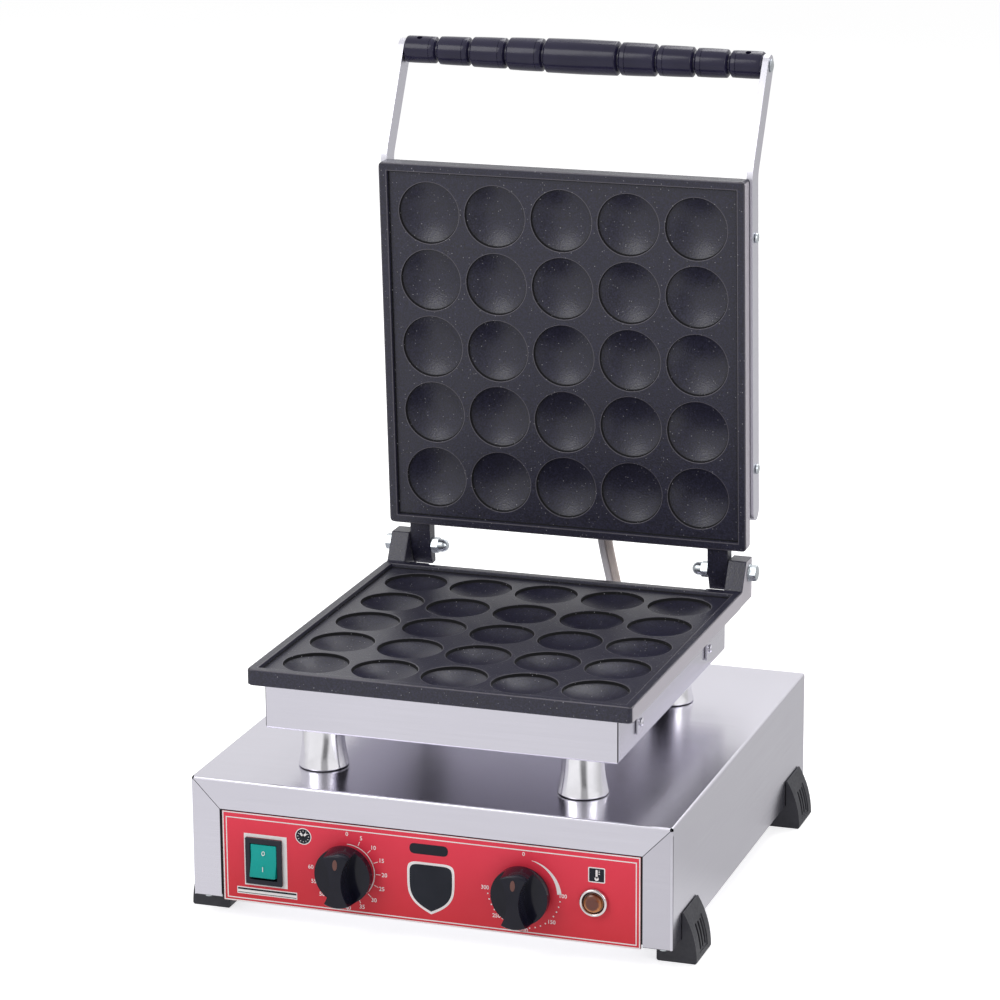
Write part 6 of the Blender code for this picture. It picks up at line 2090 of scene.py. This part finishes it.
@dataclass
class CupPlate:
    """Cast plate with its grid of round cups, rim and block."""

    pitch: float = 0.0476
    count: int = 5
    radius: float = 0.0218
    half: float = 0.130
    rim: float = 0.006
    recess: float = 0.003
    thickness: float = 0.0109
    block_x: float = 0.1168
    block_y: float = 0.1226
    block: float = 0.006
    wall: float = 0.0022
    depth: float = 0.008
    corner: float = 0.0028
    cup_wear: float = 0.8
    rim_wear: float = 0.7
    steps: int = 64

    def grow(
        self, bm: BMesh, edges: list[BMEdge], scale: Point, rise: float
    ) -> tuple[list[BMEdge], list[BMVert]]:
        """Extrude a loop of edges, scaled about the origin and set to a height.

        Args:
            bm: the mesh.
            edges: the loop.
            scale: factors for x and y.
            rise: the new loop's z.

        Returns:
            The new loop's edges and vertices.
        """
        made = bmesh.ops.extrude_edge_only(bm, edges=edges)["geom"]
        verts = [v for v in made if isinstance(v, BMVert)]
        fresh = set(verts)
        bmesh.ops.scale(bm, verts=verts, vec=(*scale, 1.0))
        for vert in verts:
            vert.co.z = rise
        loop = [e for e in made if isinstance(e, BMEdge) and fresh.issuperset(e.verts)]
        return loop, verts

    def cup_stations(self) -> list[tuple[float, float, float, float]]:
        """Return a cup's half outline inwards from its rim.

        Returns:
            Rows of radius, depth, share of painted wall shade and share of painted edge highlight.
        """
        r, w = self.radius, self.wall
        line = [(r + 0.00050, 0.0, 0.0, 0.0), (r + 0.00035, 0.0, 0.0, 1.0), (r, 0.0001, 0.0, 1.0)]
        line += [(r - 0.0001, 0.00035, 0.6, 0.0), (r - 0.00015, 0.0006, 1.0, 0.0)]
        line += [(r - 0.0003, w - 0.0004, 1.0, 0.0), (r - 0.0005, w, 1.0, 0.0)]
        inner = r - 0.0009
        line.append((inner, w + 0.0002, 0.3, 0.0))
        for step in range(1, 10):
            share = 1 - step / 10
            line.append((inner * share, w + (self.depth - w) * (1 - share**2), 0.0, 0.0))
        return line

    def add_cell(self, bm: BMesh) -> None:
        """Add one cup with the square of field round it, its field at the recess.

        Args:
            bm: the mesh to add to.
        """
        field_z = -self.recess
        stations = self.cup_stations()
        place = Matrix.Translation((0, 0, field_z))
        ring = bmesh.ops.create_circle(
            bm, radius=stations[0][0], segments=self.steps, matrix=place
        )["verts"]
        start = list({e for v in ring for e in v.link_edges})
        loop, verts = self.grow(bm, start, (1.0, 1.0), field_z)
        for vert in verts:
            reach = max(abs(vert.co.x), abs(vert.co.y))
            vert.co.xy *= self.pitch / 2 / reach
        loop = start
        walls = bm.verts.layers.float.new("cup_wall_shade")
        highlights = bm.verts.layers.float.new("painted_edge_highlight")
        for (before, *_), (after, sink, wall, highlight) in pairwise(stations):
            factor = after / before
            loop, verts = self.grow(bm, loop, (factor, factor), field_z - sink)
            for vert in verts:
                vert[walls] = wall
                vert[highlights] = highlight * self.cup_wear
        bmesh.ops.extrude_edge_only(bm, edges=loop)
        tips = [v for v in bm.verts if v.is_boundary and v.co.xy.length < self.radius / 4]
        bmesh.ops.pointmerge(bm, verts=tips, merge_co=(0, 0, field_z - self.depth))

    def casting(self) -> BMesh:
        """Cast the whole plate, with its rim's top at zero height.

        Returns:
            The closed plate.
        """
        bm = bmesh.new()
        self.add_cell(bm)
        geometry = [*bm.verts, *bm.edges, *bm.faces]
        middle = (self.count - 1) / 2
        for row in range(self.count):
            for column in range(self.count):
                shift = Vector(((column - middle) * self.pitch, (row - middle) * self.pitch, 0))
                if shift.length < self.pitch / 2:
                    continue
                made = bmesh.ops.duplicate(bm, geom=geometry)["geom"]
                verts = [v for v in made if isinstance(v, BMVert)]
                bmesh.ops.translate(bm, verts=verts, vec=shift)
        bmesh.ops.remove_doubles(bm, verts=bm.verts, dist=1e-6)
        loop = [e for e in bm.edges if e.is_boundary]
        at = self.pitch * self.count / 2
        inner, outer = self.half - self.rim, self.half
        # Rim rows: reach, height, share of painted wall shade, share of painted edge highlight.
        rim = [
            (inner - 0.0012, -self.recess, 0, 0),
            (inner - 0.0006, -self.recess, 1, 0),
            (inner - 0.0002, -self.recess + 0.0003, 1, 0),
            (inner - 0.0001, -self.recess + 0.0012, 0, 0),
            (inner + 0.0001, -0.0005, 0, 0),
            (inner + 0.0003, -0.0001, 0, self.rim_wear),
            (inner + 0.0007, 0.0, 0, self.rim_wear),
            (inner + 0.0011, 0.0, 0, 0),
            (outer - 0.0011, 0.0, 0, 0),
            (outer - 0.0006, 0.0, 0, self.rim_wear),
            (outer - 0.0001, -0.0003, 0, self.rim_wear),
            (outer, -0.0008, 0, 0),
            (outer, -self.thickness + 0.0006, 0, 0),
            (outer - 0.0006, -self.thickness, 0, 0),
        ]
        rows = [(reach, reach, *rest) for reach, *rest in rim]
        for height in (-self.thickness, -self.thickness - self.block):
            rows.append((self.block_x, self.block_y, height, 0, 0))
        walls = bm.verts.layers.float["cup_wall_shade"]
        highlights = bm.verts.layers.float["painted_edge_highlight"]
        now_x = now_y = at
        for half_x, half_y, height, wall, highlight in rows:
            loop, verts = self.grow(bm, loop, (half_x / now_x, half_y / now_y), height)
            now_x, now_y = half_x, half_y
            for vert in verts:
                vert[walls] = wall
                vert[highlights] = highlight
        bmesh.ops.holes_fill(bm, edges=loop, sides=0)
        corners = [
            e
            for e in bm.edges
            if all(
                min(abs(v.co.x), abs(v.co.y)) > self.half - 0.0009
                and v.co.z > -self.thickness - 1e-5
                for v in e.verts
            )
        ]
        ease_edges(bm, corners, self.corner, 5)
        bmesh.ops.recalc_face_normals(bm, faces=bm.faces)
        return bm


@dataclass
class PlatePair:
    """The two cup plates with their hinge ears, stops, lugs and bosses."""

    plate: CupPlate = field(default_factory=CupPlate)
    lower_top: float = 0.1673
    upper_face: float = -0.0082
    ear_x: Point = (0.1167, 0.1298)
    stop_x: Point = (0.1015, 0.1161)
    boss_x: Point = (0.1196, 0.1276)
    boss_along: Point = (-0.072, -0.235)

    def build(self) -> None:
        """Build both plates."""
        self.build_lower()
        self.build_upper()

    def add_pair(self, bm: BMesh, outline: Sequence[Point], span: Point, at: Matrix) -> None:
        """Add a side profile on both sides, with eased edges.

        Args:
            bm: the mesh to add to.
            outline: corners as y and z.
            span: its inner and outer x on the right side.
            at: where it goes.
        """
        for side in Side:
            part = bmesh.new()
            ends = sorted(side.value * x for x in span)
            place = Matrix.Translation((ends[0], 0, 0)) @ FACING_SIDE
            add_prism(part, outline, place, ends[1] - ends[0])
            ease_edges(part, sharp_edges(part, 20.0), 0.0007, 3)
            poured(bm, part, at)

    def build_lower(self) -> None:
        """Build the lower plate with its ears and stops."""
        bm = self.plate.casting()
        place = Matrix.Translation((0, PLATE_MIDDLE_Y, self.lower_top))
        bmesh.ops.transform(bm, matrix=place, verts=bm.verts)
        ear = [
            (0.1165, 0.1568),
            (0.1452, 0.1568),
            (0.1452, 0.1860),
            (0.1307, 0.1860),
            (0.1202, 0.1673),
            (0.1165, 0.1669),
        ]
        self.add_pair(bm, ear, self.ear_x, Matrix())
        stop = [(0.1165, 0.1568), (0.1305, 0.1568), (0.1298, 0.1649), (0.1165, 0.1649)]
        self.add_pair(bm, stop, self.stop_x, Matrix())
        finish_piece(bm, "lower_cup_plate", COATING, Body.BASE, ["lower_plate"])

    def build_upper(self) -> None:
        """Build the upper plate with its lugs and bosses, turned open with the lid."""
        bm = self.plate.casting()
        over = Matrix.Rotation(math.pi, 4, "X")
        place = Matrix.Translation((0, LID_MIDDLE_Y, self.upper_face)) @ over
        bmesh.ops.transform(bm, matrix=LID_TURN @ place, verts=bm.verts)
        lug = [
            (-0.0235, -0.0055),
            (0.0, -0.0055),
            (0.014, -0.001),
            (0.014, 0.0055),
            (-0.0235, 0.0055),
        ]
        self.add_pair(bm, lug, self.stop_x, LID_TURN)
        for along in self.boss_along:
            boss = [
                (along - 0.0075, 0.0020),
                (along + 0.0075, 0.0020),
                (along + 0.0075, 0.0182),
                (along - 0.0075, 0.0182),
            ]
            self.add_pair(bm, boss, self.boss_x, LID_TURN)
        finish_piece(bm, "upper_cup_plate", COATING, Body.LID, ["upper_plate"])


@dataclass
class Pans:
    """The pan under the lower plate, its clips, and the cover on the lid."""

    seam: float = 0.0006
    ease: float = 0.0009

    def build(self) -> None:
        """Build the pan, the cover and the clips."""
        bm = merged_copy("lower_pan")
        tool = bmesh.new()
        span = Span.of("lower_pan")
        level = [e for e in outer_edges(bm, span) if abs(e.verts[0].co.z - e.verts[1].co.z) < 1e-6]
        ease_edges(bm, level, self.ease, 3)
        for x in (span.low.x, span.high.x):
            for y in (span.low.y, span.high.y):
                low = Vector((x, y, span.low.z + 0.0012)) - Vector((1, 1, 0)) * self.seam
                high = Vector((x, y, span.high.z + 0.001)) + Vector((1, 1, 0)) * self.seam
                add_block(tool, low, high)
        bm = carved(bm, tool)
        # Painted shade in the seams at the pan's corners.
        darken_seams(bm, self.seam * 1.05)
        finish_piece(bm, "lower_tray", BOX_STEEL, Body.BASE, ["lower_pan"], crease=40.0)
        bm = merged_copy("upper_cover")
        finish_piece(bm, "lid_cover", BOX_STEEL, Body.LID, ["upper_cover"], crease=40.0)
        for row in Row:
            for side in Side:
                node = f"pan_clip_{row.value}_{side.label}"
                bm = merged_copy(node)
                finish_piece(bm, f"{node}_piece", BOX_STEEL, Body.BASE, [node], soften=0.0002)


# ---------------------------------------------------------------- lid's ironwork


@dataclass
class HingeIron:
    """Hinge bolts and acorn nuts."""

    flats: float = 0.010
    head: float = 0.0042
    longer: float = 0.0014
    washer: Point = (0.0062, 0.0009)
    shank: float = 0.003
    nut_hex: float = 0.005
    nut_dome: float = 0.0046

    def hexagon(self) -> list[Point]:
        """Return a hexagon's corners."""
        radius = self.flats / 2 / math.cos(math.pi / 6)
        return [(radius * math.cos(a), radius * math.sin(a)) for a in self.turns()]

    def turns(self) -> list[float]:
        """Return the angles of a hexagon's corners."""
        return [math.pi / 3 * i for i in range(6)]

    def build(self) -> None:
        """Build the bolts and the nuts of both sides."""
        for side in Side:
            self.build_bolt(side)
            self.build_nut(side)

    def chamfered_hexagon(self, depth: float, outward: Matrix) -> BMesh:
        """Make a hexagon whose outer corners are turned down.

        Args:
            depth: its thickness.
            outward: where it goes, with local Z outwards.

        Returns:
            The mesh.
        """
        bm = bmesh.new()
        add_prism(bm, self.hexagon(), Matrix(), depth)
        tool = bmesh.new()
        corner = self.flats / 2 / math.cos(math.pi / 6)
        profile = [
            (0.0, 0.0),
            (corner + 0.0004, 0.0),
            (corner + 0.0004, depth - 0.0007),
            (self.flats / 2 - 0.0001, depth),
            (0.0, depth),
        ]
        add_turned(tool, profile, Matrix(), 48)
        bm = carved(bm, tool, "INTERSECT")
        bmesh.ops.transform(bm, matrix=outward, verts=bm.verts)
        return bm

    def build_bolt(self, side: Side) -> None:
        """Build one bolt.

        Args:
            side: left or right.
        """
        node = f"hinge_bolt_{side.label}"
        span = Span.of(node)
        out = span.high.x if side is Side.RIGHT else span.low.x
        seat = out - side.value * self.head
        at = facing((seat, span.middle.y, span.middle.z), (side.value, 0, 0))
        bm = self.chamfered_hexagon(self.head + self.longer, at)
        add_bar(bm, *self.washer, at, 40)
        inner = (span.high.x - span.low.x) - self.head
        profile = [(0.0, -inner), (self.shank - 0.0005, -inner), (self.shank, -inner + 0.0005)]
        profile += [(self.shank, 0.0001), (0.0, 0.0001)]
        add_turned(bm, profile, at, 32)
        finish_piece(bm, f"{node}_piece", ZINC, Body.BASE, [node])

    def build_nut(self, side: Side) -> None:
        """Build one acorn nut.

        Args:
            side: left or right.
        """
        node = f"acorn_nut_{side.label}"
        span = Span.of(node)
        seat = span.high.x if side is Side.RIGHT else span.low.x
        at = facing((seat, span.middle.y, span.middle.z), (-side.value, 0, 0))
        bm = self.chamfered_hexagon(self.nut_hex, at)
        full = span.high.x - span.low.x
        profile = [(0.0, self.nut_hex - 0.0004), (self.nut_dome, self.nut_hex - 0.0004)]
        straight = full - self.nut_dome
        for step in range(0, 11):
            a = math.pi / 2 * step / 10
            profile.append(
                (self.nut_dome * math.cos(a), straight + self.nut_dome * math.sin(a))
            )
        add_turned(bm, profile, at, 40)
        finish_piece(bm, f"{node}_piece", ZINC, Body.BASE, [node])


@dataclass
class LidArms:
    """Flat arms of the lid with the screws that hold them."""

    ease: float = 0.0006

    def build(self) -> None:
        """Build both arms and their screws."""
        for side in Side:
            node = f"lid_arm_{side.label}"
            finish_piece(
                merged_copy(node), f"{node}_bar", ARM_METAL, Body.LID, [node], soften=self.ease
            )
            for height in ("low", "high"):
                screw = f"arm_screw_{height}_{side.label}"
                piece = f"{screw}_head"
                finish_piece(merged_copy(screw), piece, ZINC, Body.LID, [screw], soften=0.0003)


@dataclass
class Handle:
    """Turned grip in nine sections on a steel rod."""

    half: float = 0.1276
    shares: tuple[float, ...] = (0.2108, 0.4208, 0.6285, 0.8182)
    radii: tuple[float, ...] = (0.01202, 0.01135, 0.01055, 0.0099, 0.0093)
    groove: float = 0.0030
    groove_depth: float = 0.0024
    bead: float = 0.0036
    bore: float = 0.0034
    pin: float = 0.0020
    pin_x: float = 0.1174
    pin_from: float = 0.0058
    pin_lean: float = 0.3

    def place(self) -> Vector:
        """Return the grip's middle."""
        return Span.of("handle_grip").middle

    def half_profile(self) -> list[Point]:
        """Work out the outline from the middle to an end.

        Returns:
            Rows of radius and distance from the middle.
        """
        bounds = [0.0, *(s * self.half for s in self.shares), self.half]
        line: list[Point] = []
        for index, (start, end) in enumerate(pairwise(bounds)):
            radius = self.radii[index]
            following = self.radii[min(index + 1, len(self.radii) - 1)]
            outermost = end >= self.half
            first = start + (self.groove / 2 if index else 0.0)
            last = end - (0.0 if outermost else self.groove / 2)
            if index:
                line += [(radius - 0.0007, first), (radius - 0.0001, first + 0.0005)]
                mark = first + self.bead
                line += [(radius, mark - 0.0003), (radius - 0.0003, mark - 0.0001)]
                line += [(radius - 0.0003, mark + 0.0001), (radius, mark + 0.0003)]
                first = mark + 0.0006
            ending = radius - (radius - following) * 0.35
            for step in range(6):
                share = step / 5
                swell = 0.0001 * (1 - (2 * share - 1) ** 2) if index else 0.0
                along = first + (last - 0.0008 - first) * share
                line.append((radius + (ending - radius) * share + swell, along))
            if not outermost:
                line += [(ending - 0.0001, last - 0.0005), (ending - 0.0007, last)]
                floor = following - self.groove_depth
                line += [(floor, end - 0.0004), (floor, end + 0.0004)]
        return line

    def build(self) -> None:
        """Turn the grip and its rod."""
        half = self.half_profile()
        edge = half[-1][0]
        half = half[:-1] + [
            (edge, self.half - 0.0012),
            (edge - 0.0004, self.half - 0.0004),
            (edge - 0.0012, self.half),
            (self.bore, self.half),
        ]
        other = [(r, -along) for r, along in reversed(half[1:])]
        profile = [*other, *half]
        profile.append(profile[0])
        bm = bmesh.new()
        add_turned(bm, profile, facing(self.place(), (1, 0, 0)), 72)
        tool = bmesh.new()
        above = LID_TURN.to_3x3() @ Vector((0, -1, 0)) - Vector((0, self.pin_lean, 0))
        above.normalize()
        for side in Side:
            aside = Vector((side.value * self.pin_x, 0, 0))
            place = self.place() + aside + above * self.pin_from
            add_bar(tool, self.pin, 0.01, facing(place, above), 24)
        bm = carved(bm, tool)
        finish_piece(bm, "turned_grip", GRIP_GLOSS, Body.LID, ["handle_grip"], crease=50.0)
        span = Span.of("handle_rod")
        bm = bmesh.new()
        length = (span.high.x - span.low.x) / 2
        head = [(0.0, length), (0.0034, length - 0.0001), (0.0045, length - 0.0006)]
        head += [(0.0045, length - 0.0011), (0.003, length - 0.0011)]
        profile = head + [(r, -along) for r, along in reversed(head)]
        add_turned(bm, profile, facing(span.middle, (1, 0, 0)), 40)
        finish_piece(bm, "grip_rod", ZINC, Body.LID, ["handle_rod"])


@dataclass
class Interior:
    """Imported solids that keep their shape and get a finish."""

    nodes: dict[str, Finish] = field(
        default_factory=lambda: {
            "bottom_screw_left": ZINC,
            "bottom_screw_right": ZINC,
            "timer_body": CERAMIC,
            "thermostat_body": CERAMIC,
            "timer_shaft": ROD_STEEL,
            "thermostat_shaft": ROD_STEEL,
            "lower_heating_element": ROD_STEEL,
            "upper_heating_element": ROD_STEEL,
            "lower_insulation": WOOL,
            "upper_insulation": WOOL,
            "thermostat_bulb": ROD_STEEL,
            "terminal_block": CERAMIC,
        }
    )

    def build(self) -> None:
        """Dress the solids and copy the mains bush with eased edges."""
        for node, finish in self.nodes.items():
            dress_node(node, finish)
        node = "mains_inlet_bush"
        bm = merged_copy(node)
        finish_piece(bm, "mains_gland", BLACK_SATIN, Body.BASE, [node], soften=0.0004)


def clear_startup() -> None:
    """Remove what Blender's startup file holds."""
    for obj in list(bpy.data.objects):
        bpy.data.objects.remove(obj)


def main() -> None:
    """Build the scene in order."""
    logging.basicConfig(level=logging.INFO, format="%(name)s: %(message)s")
    clear_startup()
    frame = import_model()
    LOG.info("loaded %d packed nodes", len(frame["nodes"]))
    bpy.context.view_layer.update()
    studio = Studio()
    studio.set_camera()
    lead = TwinLead()
    lead.hang()
    lead.fit_bushes()
    BaseBox().build()
    Posts().build()
    ControlPanel().build()
    RockerSwitch().build()
    DialKnob("timer_knob", Body.TIMER).build()
    DialKnob("thermostat_knob", Body.THERMOSTAT).build()
    SignalLamp().build()
    PlatePair().build()
    Pans().build()
    HingeIron().build()
    LidArms().build()
    Handle().build()
    Interior().build()
    studio.set_lamps()
    studio.set_world()
    studio.lay_floor()


if __name__ == "__main__":
    main()
